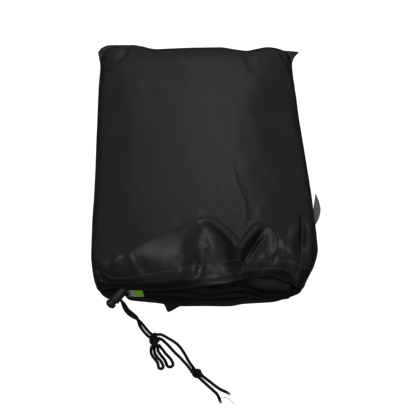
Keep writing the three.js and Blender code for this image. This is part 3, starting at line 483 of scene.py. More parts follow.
def knot(name, middle, turn, reach, hub, swell, wraps, flatten):
    """A drawn knot: the cord's wraps over a dark core of the strands inside."""
    run = Quaternion((0, 0, 1), math.radians(turn))
    line, places = [], 240
    for i in range(places + 1):
        s = 2 * math.pi * (0.01 + 0.98 * i / places)
        out = hub + swell * math.cos(2 * s)
        angle = wraps * s
        local = Vector((
            reach * math.sin(2 * s), out * math.cos(angle), flatten * out * math.sin(angle)))
        line.append(Vector(middle) + run @ local)
    even = even_steps(line, braid_step)
    wound = cord_tube(even, lambda row, angle: 0.96 * braid_radius(row, angle))
    core = bmesh.new()
    core.loops.layers.uv.new("UVMap")
    bmesh.ops.create_icosphere(core, subdivisions=3, radius=1)
    core_size = (reach * 0.86, hub * 1.15, flatten * hub * 1.15)
    bmesh.ops.scale(core, vec=core_size, verts=core.verts)
    bmesh.ops.rotate(core, matrix=run.to_matrix(), verts=core.verts)
    bmesh.ops.translate(core, vec=middle, verts=core.verts)
    join_into(wound, core)
    piece = finished_piece(name + "_wraps", wound, black_braid, "pack", "braid")
    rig.replaces(piece, name)
    return piece


knot_upper = knot("knot_upper", (-0.0549, -0.1921, 0.0045), -84, 0.0058, 0.0025, 0.0013, 3, 0.72)
knot_lower = knot("knot_lower", (-0.0153, -0.2269, 0.0043), -40, 0.0048, 0.0023, 0.0012, 3, 0.74)


# Frayed tips: the cut braid opens at both ends of the cord into its fine fibres, which fan out
# on the floor. One loose thread runs on beyond the lower tip.
tuft_radius, tuft_sunk, fibre_radius, fibre_step = 0.0011, 0.0012, 0.00019, 0.0007


def frayed_tip(name, line, fibres, spread, reach, seed):
    """A tuft of fibres from a cord's end, each with its own length and its own way out."""
    chance = random.Random(seed)
    way, up = (line[-1] - line[-4]).normalized(), Vector((0, 0, 1))
    side = way.cross(up).normalized()
    tuft = bmesh.new()
    tuft.loops.layers.uv.new("UVMap")
    for i in range(fibres):
        angle = 2 * math.pi * i / fibres
        out = tuft_radius * math.sqrt(chance.random())
        foot = line[-1] - way * tuft_sunk + out * (math.cos(angle) * side + math.sin(angle) * up)
        fan = spread * (chance.random() - 0.5) * 2
        length = reach * (0.55 + 0.45 * chance.random())
        points = []
        for k in range(7):
            t = k / 6
            rise = foot.z * (1 - t) ** 1.3 + 0.0003 + 0.0008 * chance.random() * t
            ahead = foot + way * length * t + side * length * fan * t * t
            points.append(Vector((ahead.x, ahead.y, max(0.0002, rise))))
        join_into(tuft, cord_tube(
            even_steps(points, fibre_step),
            lambda row, angle: fibre_radius * max(0.25, 1 - row * fibre_step / length), sides=5))
    return finished_piece(name, tuft, black_braid, "pack", "braid")


fray_upper = frayed_tip("fray_upper", cord_lines["cord_a_end"], 46, 0.42, 0.0062, 3)
fray_lower = frayed_tip("fray_lower", cord_lines["cord_b_end"], 46, 0.5, 0.0048, 8)
loose_thread_line = even_steps([Vector(p) for p in (
    (0.0050, -0.2525, 0.0022), (0.0092, -0.2508, 0.0016), (0.0128, -0.2516, 0.0009),
    (0.0160, -0.2540, 0.0006), (0.0186, -0.2572, 0.0005),
)], braid_step)
loose_thread = finished_piece(
    "loose_thread", cord_tube(loose_thread_line, lambda row, angle: 0.0003, sides=6),
    black_braid, "pack", "braid")

cord_facts = {
    "cord_a_lead": ("knot", [knot_upper]),
    "cord_b_lead": ("knot", [knot_upper]),
    "cord_a_bight": ("object", [knot_upper]),
    "cord_b_bight": ("object", [knot_upper]),
    "cord_a_middle": ("knot", [knot_lower]),
    "cord_b_middle": ("knot", [knot_lower]),
    "cord_a_end": ("bare", [fray_upper]),
    "cord_b_end": ("bare", [fray_lower, loose_thread]),
}
for name, (far_end, with_pieces) in cord_facts.items():
    line = cord_lines[name]
    length = sum((b - a).length for a, b in zip(line, line[1:]))
    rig.replaces(cord_pieces[name], name)
    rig.cord(
        cord_pieces[name], exit=line[0], diameter=braid_thickness, far_end=far_end,
        stiffness="limp", length=length, path=line, with_pieces=with_pieces)


# Sack: one black polyester cloth, coated inside, folded along its left side and seamed at the
# right side and the far end, with a 21 mm hem round the mouth, in which the drawcord runs. The
# packed cover fills it.
cloth_thickness = 0.0003

# The sack's own sizes are in millimetres, measured from a point near the middle of its floor. Its
# lips shape the cloth for mouth_reach behind the mouth, and the far seam from end_reach on. On the
# slope over the mouth the rows of cloth follow the top edge, which lies edge_back from the lip and
# swings by edge_swing at most, and they are straight again at slope_back.
sack_off_x, sack_off_y = 4.5, -2.5
half_width = 110
mouth_y, sack_length = -152, 298
seam_y = mouth_y + sack_length
mouth_reach, end_reach = 60, 96
edge_back, edge_swing, slope_back = 46, 21, 112

# The hem: its width, how far its tunnel stands out and from where, the rounding of the lip, the
# gap between its two layers, and where and how far the drawcord lifts it.
hem = {
    "width": 21, "puff": 0.7, "lead": 5, "nose": 1.2, "gap": 0.7,
    "cord_at": 6, "cord_rise": 0.7, "cord_width": 2.4, "pucker": 0.7, "pucker_width": 5,
}

# How squarely the cloth is filled: higher powers give a squarer section.
side_power, crown_power, camber, flank_from = 3.2, 2.6, 6, 0.86
filled_end = {
    "start": 40, "top_power": 11, "floor_power": 4, "side_power": 12, "crown_power": 1.35,
    "flat": 0.6,
}
floor_power, floor_root, floor_spread = 1.5, 3, 1.12
corner_swell, swell_reach = 7, 75
corner_droop, droop_from, droop_reach = 9, (-50, -75), (45, 50)
sack_stations = (
    # y, left, right, crown, flank
    (-152, 103, 95, 44, 8), (-143, 107, 99, 48, 12), (-134, 109.5, 103.5, 53, 17),
    (-122, 110.8, 109.3, 60, 22), (-104, 111.7, 113.6, 61, 26), (-80, 111.5, 113.2, 61.5, 27),
    (-45, 110.4, 112.2, 62, 28), (5, 110, 110, 62, 28), (55, 109.8, 107.8, 60.5, 28),
    (100, 109.6, 107, 58.5, 28), (124, 108.4, 106.6, 57, 28), (134, 109.8, 108.4, 56, 28.5),
    (146, 111.4, 115.5, 56, 29),
)
upper_lip = (
    # x, height, y
    (-99, 18, -141.5), (-88, 20, -142), (-79, 21, -144), (-66, 21.5, -147), (-45, 22.4, -149.1),
    (-30, 24, -149.7), (5, 26, -147.2), (18, 26.5, -146.5), (32, 31, -145.2), (55, 34.6, -142.7),
    (68, 36, -141), (76, 35, -141), (83, 33, -145), (90, 32, -149.5), (95, 31, -148),
)
lower_lip = (
    # x, y
    (-103, -143), (-97, -146.6), (-90, -147.9), (-87, -147.6), (-84.5, -141.5), (-81, -142),
    (-76, -147.5), (-60, -150.3), (-45, -152.5), (-30, -156), (0, -157), (24, -158), (38, -156),
    (66, -155), (81, -151.5), (95, -148),
)
top_edge = (
    # x, y
    (-110, -134), (-92, -129), (-69, -121), (-42, -110), (-22, -101), (-2, -93), (18, -109),
    (34, -127), (44, -117), (54, -105), (62, -101), (70, -107), (77, -116), (86, -111),
    (96, -98), (112, -92),
)
slope_shape = (
    # x, power of the fall from the top edge to the lip: below 1 it bulges, above 1 it is hollow
    (-95, 0.75), (-60, 0.5), (-30, 0.48), (-10, 0.62), (8, 0.98), (22, 1.08), (33, 0.8),
    (45, 0.62), (60, 0.62), (90, 0.5),
)
far_seam = (
    # x, out, rise
    (-112, 3, 1), (-107, 10, 2), (-98, 12.5, 3), (-72, 11.5, 3), (-60, 7.5, 1), (-50, 2, 0),
    (-42, 0, 0), (-18, 0.8, 0), (26, 0, 0), (45, -4, 0), (56, -5.5, 0), (66, -3, 0), (80, 0, 1),
    (95, -1.5, 2), (105, -5, 5), (116, -10.5, 9),
)
stitch_line = (
    # x, y of the stitches on the upper cloth
    (-109, -129), (-96, -135), (-84, -138.6), (-67, -140.6), (-48, -140.4), (-32, -139.5),
    (-20, -137.3), (-4, -133.6), (8, -131.2), (18, -130.4), (27, -132.4), (36, -135.2),
    (47, -133.1), (74, -132.8), (91, -135), (99, -137.3), (107, -134),
)
round_folds = (
    # width left and right of the line, rise, line
    (5, 7, 2.2, ((2, -94), (10, -96), (21, -107), (28, -115), (35, -125))),
    (6, 16, -2.4, ((5, -103), (13, -110), (21, -119), (27, -130))),
    (10, 14, 1.0, ((-3, -96), (-13, -105), (-20, -113), (-23, -124), (-23, -133))),
    (11, 14, -1.8, ((-3, -105), (-6, -114), (-8, -124), (-10, -130))),
    (6, 7, 1, ((0, -111), (4, -120))),
    (5, 5, 1.8, ((-18, -129), (-12, -127), (-7, -131), (-8, -138))),
    (4, 4, 1.2, ((-1, -133), (-4, -141), (-8, -146))),
    (6, 6, 1, ((14, -138), (23, -139))),
    (5, 5, 0.8, ((1, -138), (6, -137))),
    (8, 8, 2.0, ((-25, -140), (-20, -145))),
    (4, 4, 1.2, ((35, -125), (42, -114), (49, -103), (57, -100))),
    (8, 4.5, 4, ((33, -133), (41, -121), (49, -110), (56, -103))),
    (2.8, 4, 1.5, ((60, -102), (66, -106), (70, -114), (69, -124))),
    (4, 3.8, -4.2, ((57, -109), (51.5, -116), (44.5, -126), (38, -135), (34, -141))),
    (6, 6, 2.0, ((55, -132), (62, -129))),
    (4, 4, 1.4, ((76, -128), (75, -137))),
    (4.6, 4.6, -4, ((98.5, -86), (99, -96), (98, -106), (96, -117))),
    (6, 5, 2.2, ((104, -95), (104, -110), (102, -125))),
    (6, 7, 1.6, ((91, -98), (86, -116), (84, -133))),
    (8, 6, -2.4, ((-62, -133), (-56, -139))),
    (8, 7, 1.8, ((-84, -119), (-87, -132))),
    (7, 8, 0.8, ((-38, 121), (-21, 100), (-3, 74))),
    (9, 9, -0.9, ((-52, 135), (-40, 111), (-28, 79))),
    (8, 8, -1.4, ((55, 126), (59, 97))),
    (11, 3.4, -4, ((-112, 107), (-98, 112), (-87, 118), (-79, 126), (-77, 136))),
    (5, 5, -1.5, ((93, 133), (97, 117))),
    (5, 4, 1.2, ((92, 118), (98, 100), (101, 84))),
    (6, 5, -0.7, ((-104, 20), (-84, 58))),
    (12, 10, -0.5, ((-60, 90), (-46, 50))),
    (6, 7, -0.7, ((98, 84), (104, 40), (105, 8))),
)
sharp_folds = (
    # width left and right of the line, rise, line
    (5, 3.4, -1.4, ((33, -22), (38, -51), (44, -68), (46, -83), (46, -96), (41, -106), (35, -123))),
    (3, 3.4, 1.2, ((48, -93), (42, -106), (35, -123))),
    (2.8, 7, 1.8, ((-73, -121), (-69, -130), (-65, -138))),
    (2.6, 3, -2.0, ((-5, -133), (-8, -142))),
    (2.4, 2.4, -1.8, ((55, -135), (56, -142))),
    (2.6, 2.6, -1.8, ((99, -108), (95, -121), (92, -134), (90, -142))),
    (3, 4.5, -2.2, ((76, -124), (70, -129), (65, -135))),
    (3, 3, -1.9, ((76, -124), (81, -130), (84, -134))),
    (3, 3, -1.8, ((-105, -128), (-101, -135), (-94, -140))),
    (3, 3, -1.8, ((89, -139), (87, -146))),
    (3, 3, -1.5, ((97, 108), (102, 94), (107, 84))),
    (5, 4, -2.4, ((100, 143), (105, 131))),
)


def curve_through(rows, column):
    """A smooth curve through one column of a table, without overshoot between its rows."""
    places = [row[0] for row in rows]
    values = [row[column] for row in rows]
    slopes = [(b - a) / (q - p) for a, b, p, q in zip(values, values[1:], places, places[1:])]
    leans = [slopes[0]]
    for before, after in zip(slopes, slopes[1:]):
        leans.append(0 if before * after <= 0 else 2 * before * after / (before + after))
    leans.append(slopes[-1])

    def curve(at):
        if at <= places[0]:
            return values[0]
        if at >= places[-1]:
            return values[-1]
        i = bisect.bisect_right(places, at) - 1
        span = places[i + 1] - places[i]
        t = (at - places[i]) / span
        rest = 1 - t
        return (values[i] * (1 + 2 * t) * rest * rest + values[i + 1] * t * t * (3 - 2 * t)
                + span * t * rest * (leans[i] * rest - leans[i + 1] * t))

    return curve


def clamped(value, low=0.0, high=1.0):
    return max(low, min(high, value))


def ease(value):
    """From 0 to 1 with a soft start and end."""
    value = clamped(value)
    return value * value * (3 - 2 * value)


def mix(start, end, share):
    return start + (end - start) * share


left_half, right_half, crown_at, flank_at = (curve_through(sack_stations, i) for i in (1, 2, 3, 4))
lip_height, upper_lip_y = (curve_through(upper_lip, i) for i in (1, 2))
lower_lip_y = curve_through(lower_lip, 1)
top_edge_y = curve_through(top_edge, 1)
stitch_line_y = curve_through(stitch_line, 1)
slope_power = curve_through(slope_shape, 1)
seam_out, seam_rise = (curve_through(far_seam, i) for i in (1, 2))


def measured_folds(table):
    """The fold lines with their bounds, so that far ones are passed over quickly."""
    rows = []
    for left, right, rise, line in table:
        xs, ys = [p[0] for p in line], [p[1] for p in line]
        reach = max(left, right)
        rows.append((left, right, rise, line,
                     min(xs) - reach, max(xs) + reach, min(ys) - reach, max(ys) + reach))
    return rows


def fold_height(x, y, rows, sharp):
    """Height of the folds over the flat cloth at one place; a sharp fold has a narrow crest."""
    height = 0
    for left, right, rise, line, low_x, high_x, low_y, high_y in rows:
        if not (low_x < x < high_x and low_y < y < high_y):
            continue
        last = len(line) - 1
        nearest, along, reach = 1000, 0, left
        for i in range(last):
            (ax, ay), (bx, by) = line[i], line[i + 1]
            dx, dy = bx - ax, by - ay
            t = clamped(((x - ax) * dx + (y - ay) * dy) / (dx * dx + dy * dy))
            off_x, off_y = x - ax - dx * t, y - ay - dy * t
            away = math.hypot(off_x, off_y)
            if away < nearest:
                nearest, along = away, (i + t) / last
                side = (dx * off_y - dy * off_x) / (math.hypot(dx, dy) * away + 1e-9)
                reach = mix(right, left, 0.5 + 0.5 * side)
        if nearest < reach:
            share = nearest / reach
            if sharp:
                profile = (1 - math.sqrt(share * share + 0.01)) ** 2
            else:
                profile = math.cos(math.pi / 2 * share) ** 2
            taper = ease(5 * along) * ease(5 * (1 - along))
            height += rise * mix(0.15 if sharp else 0.5, 1, taper) * profile
    return height


round_rows, sharp_rows = measured_folds(round_folds), measured_folds(sharp_folds)


def fullness(away, power):
    """How full the cloth stands, from how near to the sack's outline it is: 1 is on the outline."""
    return max(0, 1 - away) ** (1 / power)


def fill_share(across, x, y, end_power):
    """How near a place is to the sack's outline, at its sides and at its far end."""
    end = seam_y + (seam_out(x) if seam_out(x) < 0 else 0.7 * seam_out(x))
    along = max(0, y - filled_end["start"]) / (end - filled_end["start"])
    power = mix(side_power, filled_end["side_power"], ease(along))
    return abs(across) ** power + along ** end_power


def top_fullness(across, x, y):
    """How full the upper cloth stands at one place."""
    near_end = ease((y - filled_end["start"]) / (seam_y - filled_end["start"]))
    away = fill_share(across, x, y, filled_end["top_power"])
    return fullness(away, mix(crown_power, filled_end["crown_power"], near_end))


def floor_fullness(across, x, y):
    """The same for the lower cloth, which lies flat on the floor but for its edges."""
    away = min(1, fill_share(across, x, y, filled_end["floor_power"]))
    return floor_spread * fullness(away ** floor_power, floor_root)


def crown_height(x, y):
    """The flat top, or the slope from its edge down to the lip."""
    lip, edge = upper_lip_y(x), top_edge_y(x)
    climb = clamped((y - lip) / (edge - lip)) ** slope_power(x)
    level = crown_at(max(y, edge)) - camber * (x / half_width) ** 2
    left = ease((droop_from[0] - x) / droop_reach[0])
    near = ease((droop_from[1] - y) / droop_reach[1])
    level -= corner_droop * left * near
    return mix(lip_height(x), level, mix(climb, ease(climb), 0.35))


def upper_run(x, along, plain):
    """How far back the upper cloth lies at one place: its rows follow the stitches and the edge."""
    if along >= slope_back:
        return plain
    lip, stitched = upper_lip_y(x), stitch_line_y(x)
    swing = clamped(top_edge_y(x) - mouth_y - edge_back, -edge_swing, edge_swing)
    edge = mouth_y + edge_back + swing
    if along <= hem["width"]:
        return mix(lip, stitched, along / hem["width"])
    if along <= edge_back:
        return mix(stitched, edge, (along - hem["width"]) / (edge_back - hem["width"]))
    return mix(edge, mouth_y + slope_back, (along - edge_back) / (slope_back - edge_back))


def hem_puff(along):
    """How far the hem's tunnel and the drawcord in it stand out."""
    tunnel = math.sin(math.pi * (max(0, along) + hem["lead"]) / (hem["width"] + hem["lead"]))
    over_cord = math.exp(-((along - hem["cord_at"]) / hem["cord_width"]) ** 2)
    return hem["puff"] * tunnel + hem["cord_rise"] * over_cord


def hem_pucker(x, along):
    """The small gathers along the hem's stitches."""
    near_stitches = math.exp(-((along - hem["width"]) / hem["pucker_width"]) ** 2)
    return hem["pucker"] * noise.noise((x / 3.4, 0.5, 8.2)) * near_stitches


def sack_point(across, upper, along, inner):
    """One point of the cloth in millimetres. across is 1 at the right side and -1 at the left."""
    station = mouth_y + max(0, along)
    cloth = hem["gap"] if inner else 0
    half = right_half(station) if across >= 0 else left_half(station)
    x = across * half
    near_mouth = 1 - ease((station - mouth_y) / mouth_reach)
    near_end = ease((station - end_reach) / (seam_y - end_reach))
    lip_y = upper_lip_y(x) if upper else lower_lip_y(x)
    y = station + near_mouth * (lip_y - mouth_y)
    y -= corner_swell * math.sin(math.pi * clamped(along / swell_reach))
    if upper:
        on_flank = ease((abs(across) - flank_from) / (1 - flank_from))
        y = mix(upper_run(x, max(0, along), y), y, on_flank)
    y += near_end * seam_out(x) + min(0, along)
    flank = flank_at(station) + near_end * seam_rise(x)
    inside = 0 if abs(across) == 1 else 1
    puff = hem_puff(along)
    outward = (-puff if inner else puff) if along < hem["width"] else 0
    flat = 0 if along >= sack_length else inside * filled_end["flat"]
    if upper:
        full = top_fullness(across, x, y)
        crown = crown_height(x, y) - flank
        z = flank + max(flat, (crown - cloth) * full)
        lean = Vector((
            side_power * abs(across) ** (side_power - 1) / half,
            (crown_power * full ** (crown_power - 1) + 0.02) / max(4, crown),
        )).normalized()
        folds = fold_height(x, y, round_rows, False) + fold_height(x, y, sharp_rows, True)
        folds = folds + hem_pucker(x, along) + cloth_drift(x, y)
        push = outward + inside * ease(4 * full) * folds
        x += math.copysign(1, across) * lean.x * push - across * cloth
        z += lean.y * push * inside
    else:
        rise = max(0, 1 - floor_fullness(across, x, y)) * flank
        hollow = cloth * (1 - rise / flank) + puff if inner else 0
        z = min(flank - flat, rise + hollow) if inside else flank
        sideways = abs(across) ** 8 if inside else 1
        x += math.copysign(1, across) * sideways * (outward + side_drift(y, z)) - across * cloth
    return Vector((x, y, z))


def cloth_drift(x, y):
    """Slow unevenness of filled cloth, in millimetres."""
    return 0.7 * noise.noise((x / 34, y / 46, 1.3)) + 0.28 * noise.noise((x / 13, y / 17, 4.1))


def side_drift(y, z):
    """The same on the flanks."""
    return 0.8 * noise.noise((y / 22, z / 14, 7.7))


def in_frame(point):
    """From the sack's own millimetres to the frame."""
    return Vector((
        (point.x - sack_off_x) / 1000, (point.y - sack_off_y) / 1000, point.z / 1000))


def even_across(count):
    """Places across the upper cloth, closer together on the top than on the smooth flanks."""
    rise, fine_steps = 36, 1200
    walk, last = [(0, 1)], Vector((half_width, 0))
    for i in range(1, fine_steps + 1):
        across = math.cos(math.pi * i / fine_steps)
        full = fullness(abs(across) ** side_power, crown_power)
        following = Vector((across * half_width, full * rise))
        need = 0.45 if abs(across) > 0.94 else 1
        walk.append((walk[-1][0] + need * (following - last).length, across))
        last = following
    lengths = [step[0] for step in walk]
    targets = [lengths[-1] * k / count - 1e-9 for k in range(count + 1)]
    places = [walk[bisect.bisect_left(lengths, target)][1] for target in targets]
    places[0], places[-1] = 1, -1
    return places


top_places = even_across(200)
floor_places = top_places[::-2]
round_sack = [(a, True) for a in top_places] + [(a, False) for a in floor_places[1:-1]]
sack_places = round_sack + [(1, True)]
row_bands = (
    # how far from the lip each band of rows ends, and its rows
    (hem["width"], 21), (edge_back, 24), (74, 22), (slope_back, 22), (232, 24), (283, 18),
    (sack_length, 10),
)


def sack_rows():
    """Rows from the hem's inner edge, over the lip, to the far seam: how far from the lip each
    lies, and whether it is turned in; the lip itself is neither."""
    turned_rows = 14
    rows = [(hem["width"] * i / turned_rows, True) for i in range(turned_rows, -1, -1)]
    rows += [(-hem["nose"], None), (0, False)]
    start = 0
    for reach, steps in row_bands:
        rows += [(mix(start, reach, i / steps), False) for i in range(1, steps + 1)]
        start = reach
    return rows


def sack_cloth():
    """The sack as one tube of cloth, its turned-in hem and its closed far seam included."""
    rows = sack_rows()

    def place(column, row):
        if row == len(rows) - 1 and sack_places[column][1] and column < len(top_places):
            column -= column % 2
        across, upper = sack_places[column]
        along, inner = rows[row]
        if inner is None:
            outer = sack_point(across, upper, along, False)
            return in_frame((outer + sack_point(across, upper, along, True)) / 2)
        return in_frame(sack_point(across, upper, along, inner))

    # The turned-in hem and the lip are marked, so that the finish paints them much darker: painted shade in the mouth.
    def turned_in(column, row):
        return 0.0 if rows[row][1] is False else 1.0

    cloth = woven_grid(len(sack_places) - 1, len(rows) - 1, place, turned_in)
    bmesh.ops.remove_doubles(cloth, verts=cloth.verts, dist=1e-7)
    bmesh.ops.reverse_faces(cloth, faces=cloth.faces)
    return cloth


def coated_cloth(name, dark, light, rough, other_side, other_rough, shine=0.5):
    """Fine plain weave under a thin coating: a soft broad shine and almost no texture of its own. Where the cloth is
    marked it takes a colour of its own, which is painted shade or painted light, and a roughness of its own; the cloth
    is also duller where it is gathered at the mouth."""
    finish = Finish(name, Specular_IOR_Level=shine)
    weave_u = finish.node("ShaderNodeTexWave", {"bands_direction": "X"}, {
        "Vector": finish.place(), "Scale": 1100, "Distortion": 0.6})
    weave_v = finish.node("ShaderNodeTexWave", {"bands_direction": "Y"}, {
        "Vector": finish.place(), "Scale": 1100, "Distortion": 0.6})
    crumple = finish.grain(170, detail=3, roughness=0.55)
    cloud = finish.grain(22, detail=2)
    speck = finish.grain(2600, detail=2)
    relief = finish.relief(weave_u * weave_v, 0.00004, strength=0.7)
    relief = finish.relief(crumple, 0.00035, under=relief, strength=0.45)
    turned = finish.node("ShaderNodeAttribute", {"attribute_name": "other_side"}, output=2)
    colour = finish.blend((cloud * 0.6 + speck * 0.4).clipped(), dark, light)
    # On the marked cloth the colour is painted shade or painted light, not the cloth's own colour.
    colour = finish.blend(turned, colour, other_side)
    depth = finish.node("ShaderNodeSeparateXYZ", {}, {0: finish.place()}, output=1)
    gathered = finish.node("ShaderNodeMapRange", {}, {
        "Value": depth, "From Min": -0.075, "From Max": -0.105, "To Max": 0.05})
    uneven = (cloud - 0.5) * 0.1 + (speck - 0.5) * 0.08 + gathered
    return finish.feed(
        Base_Color=colour, Roughness=rough + turned * (other_rough - rough) + uneven, Normal=relief)


def give_wall(piece, thickness, offset):
    """Gives a sheet its thickness: inwards with an offset of -1, to both sides with 0."""
    wall = piece.modifiers.new("cloth", "SOLIDIFY")
    wall.thickness, wall.offset, wall.use_rim = thickness, offset, True


# The inside colour, tone(0.0015), is painted shade for the shadowed mouth, much darker than the cloth; the inside's
# higher roughness is its matte coating.
sack_finish = coated_cloth(
    "coated_black_cloth", tone(0.0075, cool=1.02), tone(0.0125, cool=1.05), 0.25,
    tone(0.0015), 0.75)
sack = finished_piece("sack_cloth", sack_cloth(), sack_finish, "pack", "sack_cloth")
give_wall(sack, cloth_thickness, -1)
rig.replaces(sack, "sack")
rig.sheet(sack, flat=(0.51, 0.345), held="laid", rests_on=["folded_cover_cloth"])


# Seam thread: grey polyester thread, lockstitched round the hem 21 mm from the lip. Each stitch
# is a short thread that dips into the cloth at both ends.
def thread_finish():
    """Thread of two or three twisted plies."""
    finish = Finish("grey_thread", Specular_IOR_Level=0.4, Sheen_Weight=0.2)
    twist = finish.node("ShaderNodeTexWave", {"bands_direction": "DIAGONAL"}, {
        "Vector": finish.place(), "Scale": 900})
    # Darker in the grooves between the twisted plies: painted shade.
    colour = finish.blend(twist, tone(0.07), tone(0.16))
    relief = finish.relief(twist, 0.0001)
    return finish.feed(Base_Color=colour, Roughness=0.75 - twist * 0.1, Normal=relief)


def stitches(name, line, normals, length, gap, finish):
    """A row of stitches along a line on the cloth."""
    half_wide, half_high = 0.00026, 0.00022
    row = bmesh.new()
    row.loops.layers.uv.new("UVMap")
    walked, target = 0, length / 2
    for k in range(len(line) - 1):
        step = line[k + 1] - line[k]
        while target < walked + step.length:
            middle = line[k] + step * ((target - walked) / step.length)
            way, up = step.normalized(), normals[k]
            side = way.cross(up).normalized()
            turn = Matrix((way * length / 2, side * half_wide, up * half_high)).transposed()
            bmesh.ops.create_icosphere(
                row, subdivisions=2, radius=1, matrix=Matrix.Translation(middle) @ turn.to_4x4())
            target += length + gap
        walked += step.length
    bmesh.ops.recalc_face_normals(row, faces=row.faces)
    return finished_piece(name, row, finish, "pack", "sack_cloth")


def cloth_line(places, along):
    """A line on the outer cloth with the way that it faces at each place."""
    line, normals = [], []
    for across, upper in places:
        here = in_frame(sack_point(across, upper, along, False))
        ahead = in_frame(sack_point(across, upper, along + 1, False)) - here
        near, far = (
            in_frame(sack_point(clamped(across + aside, -1, 1), upper, along, False))
            for aside in (0.003, -0.003))
        up = ahead.cross(far - near).normalized() * (1 if upper else -1)
        line.append(here + up * 0.0001)
        normals.append(up)
    return line, normals


grey_thread = thread_finish()
stitch_run, stitch_normals = cloth_line(round_sack, hem["width"] + 0.2)
stitches("hem_stitches", stitch_run, stitch_normals, 0.0026, 0.0007, grey_thread)


# Packed cover: the vehicle cover's own cloth, folded lengthwise to a strip and laid back and
# forth in eight layers. Its folds, one loose corner and a rounded roll show in the mouth.
layers = 8
cover_front = (-71, 84)
layer_fill = 0.72
bend_depth = 3.2
bend_tip = (1 + layer_fill) * bend_depth
side_gap, floor_gap, hem_gap = 3, 1.5, 1.8
end_gap, end_gap_from, crown_gap = (0.5, 3), 85, (5.5, 4)
roll_out, hang_from = 5.5, -157.6
cover_sides = (
    # y, left, right
    (-152, -71, 84), (-138, -72, 87), (-126, -86, 91), (-100, -95, 96), (0, -96, 95),
    (90, -92, 90), (120, -79, 77),
)
cover_folds = (
    # left, middle, right end of each layer
    (118, 123, 117), (-147.5, -154.5, -152), (120, 125, 119), (-146, -151, -148),
    (118, 124, 120), (-143.5, -146, -146), (116, 120, 115), (-136, -135, -136),
)
loose_edge = (
    # x, y
    (-71, -145), (-55, -148.5), (-44, -152.5), (-41, -156), (-37.3, -164), (-28, -160.2),
    (-18, -156.6), (-8, -152.5), (10, -151.5), (40, -151.5), (62, -150), (74, -148), (85, -145.5),
)
cover_left, cover_right = (curve_through(cover_sides, i) for i in (1, 2))


def loose_edge_y(at):
    """The loose edge runs straight from point to point, so that its corner stays sharp."""
    for (start, start_y), (end, end_y) in zip(loose_edge, loose_edge[1:]):
        if at <= end:
            return mix(start_y, end_y, clamped((at - start) / (end - start)))
    return loose_edge[-1][1]


def room_for(x, y):
    """Lowest and highest height that the sack leaves for the cover at one place."""
    half = (right_half(y) if x >= 0 else left_half(y)) - side_gap
    across = x / half
    flank = flank_at(y)
    near_mouth = 1 - ease((y - mouth_y) / mouth_reach)
    in_hem = 1 - ease((y - mouth_y - hem["width"]) / 8)
    floor = max(0, 1 - floor_fullness(across, x, y)) * flank
    floor = floor + floor_gap + in_hem * hem_gap + mix(*end_gap, ease((y - end_gap_from) / 30))
    gap = floor_gap + mix(*crown_gap, near_mouth)
    crown = crown_height(x, max(y, upper_lip_y(x))) - flank
    top = flank + crown * top_fullness(across, x, y) - gap
    if y < -70:
        top += min(0, fold_height(x, y, round_rows, False))
    return floor, top


def roll_level(level, x):
    """Heights inside the roll: the layers below it pack closer and its own two open up."""
    low, high = 0.24, 0.97 - 0.24 * ease((x - 66) / 20)
    roll_from, roll_to = 5 / 8, 7 / 8
    if level < roll_from:
        return level / roll_from * low
    if level < roll_to:
        return mix(low, high, (level - roll_from) * 4)
    return mix(high, 1, (level - roll_to) * 8)


def fold_end(layer, share):
    """Where a layer ends and turns, across the strip; the loose edge is the first layer's start."""
    if layer < 0:
        return loose_edge_y(mix(*cover_front, share))
    left, middle, right = cover_folds[layer]
    tip = mix(left, middle, 2 * share) if share < 0.5 else mix(middle, right, 2 * share - 1)
    return tip if layer == layers - 1 else tip - math.copysign(bend_tip, tip)


def cover_rows():
    """Places along the strip: layer, share of its run, level, bend, way out and way it faces."""
    rows = []
    near = [0.006 * i for i in range(16)] + [0.1 + 0.02 * i for i in range(6)]
    near += [0.25, 0.4, 0.6, 0.8, 0.9]
    for layer in range(layers):
        forward = 1 if layer % 2 == 0 else -1
        runs = near if forward > 0 else [1 - share for share in reversed(near)]
        rows += [(layer, share, layer + 0.5, 0, 0, forward) for share in runs]
        if layer < layers - 1:
            rows += [(
                layer, 1, layer + 1 - 0.5 * math.cos(math.pi * i / 10),
                0.5 * math.sin(math.pi * i / 10) * forward, -math.sin(math.pi * i / 10),
                math.cos(math.pi * i / 10) * forward) for i in range(0, 11)]
    return rows


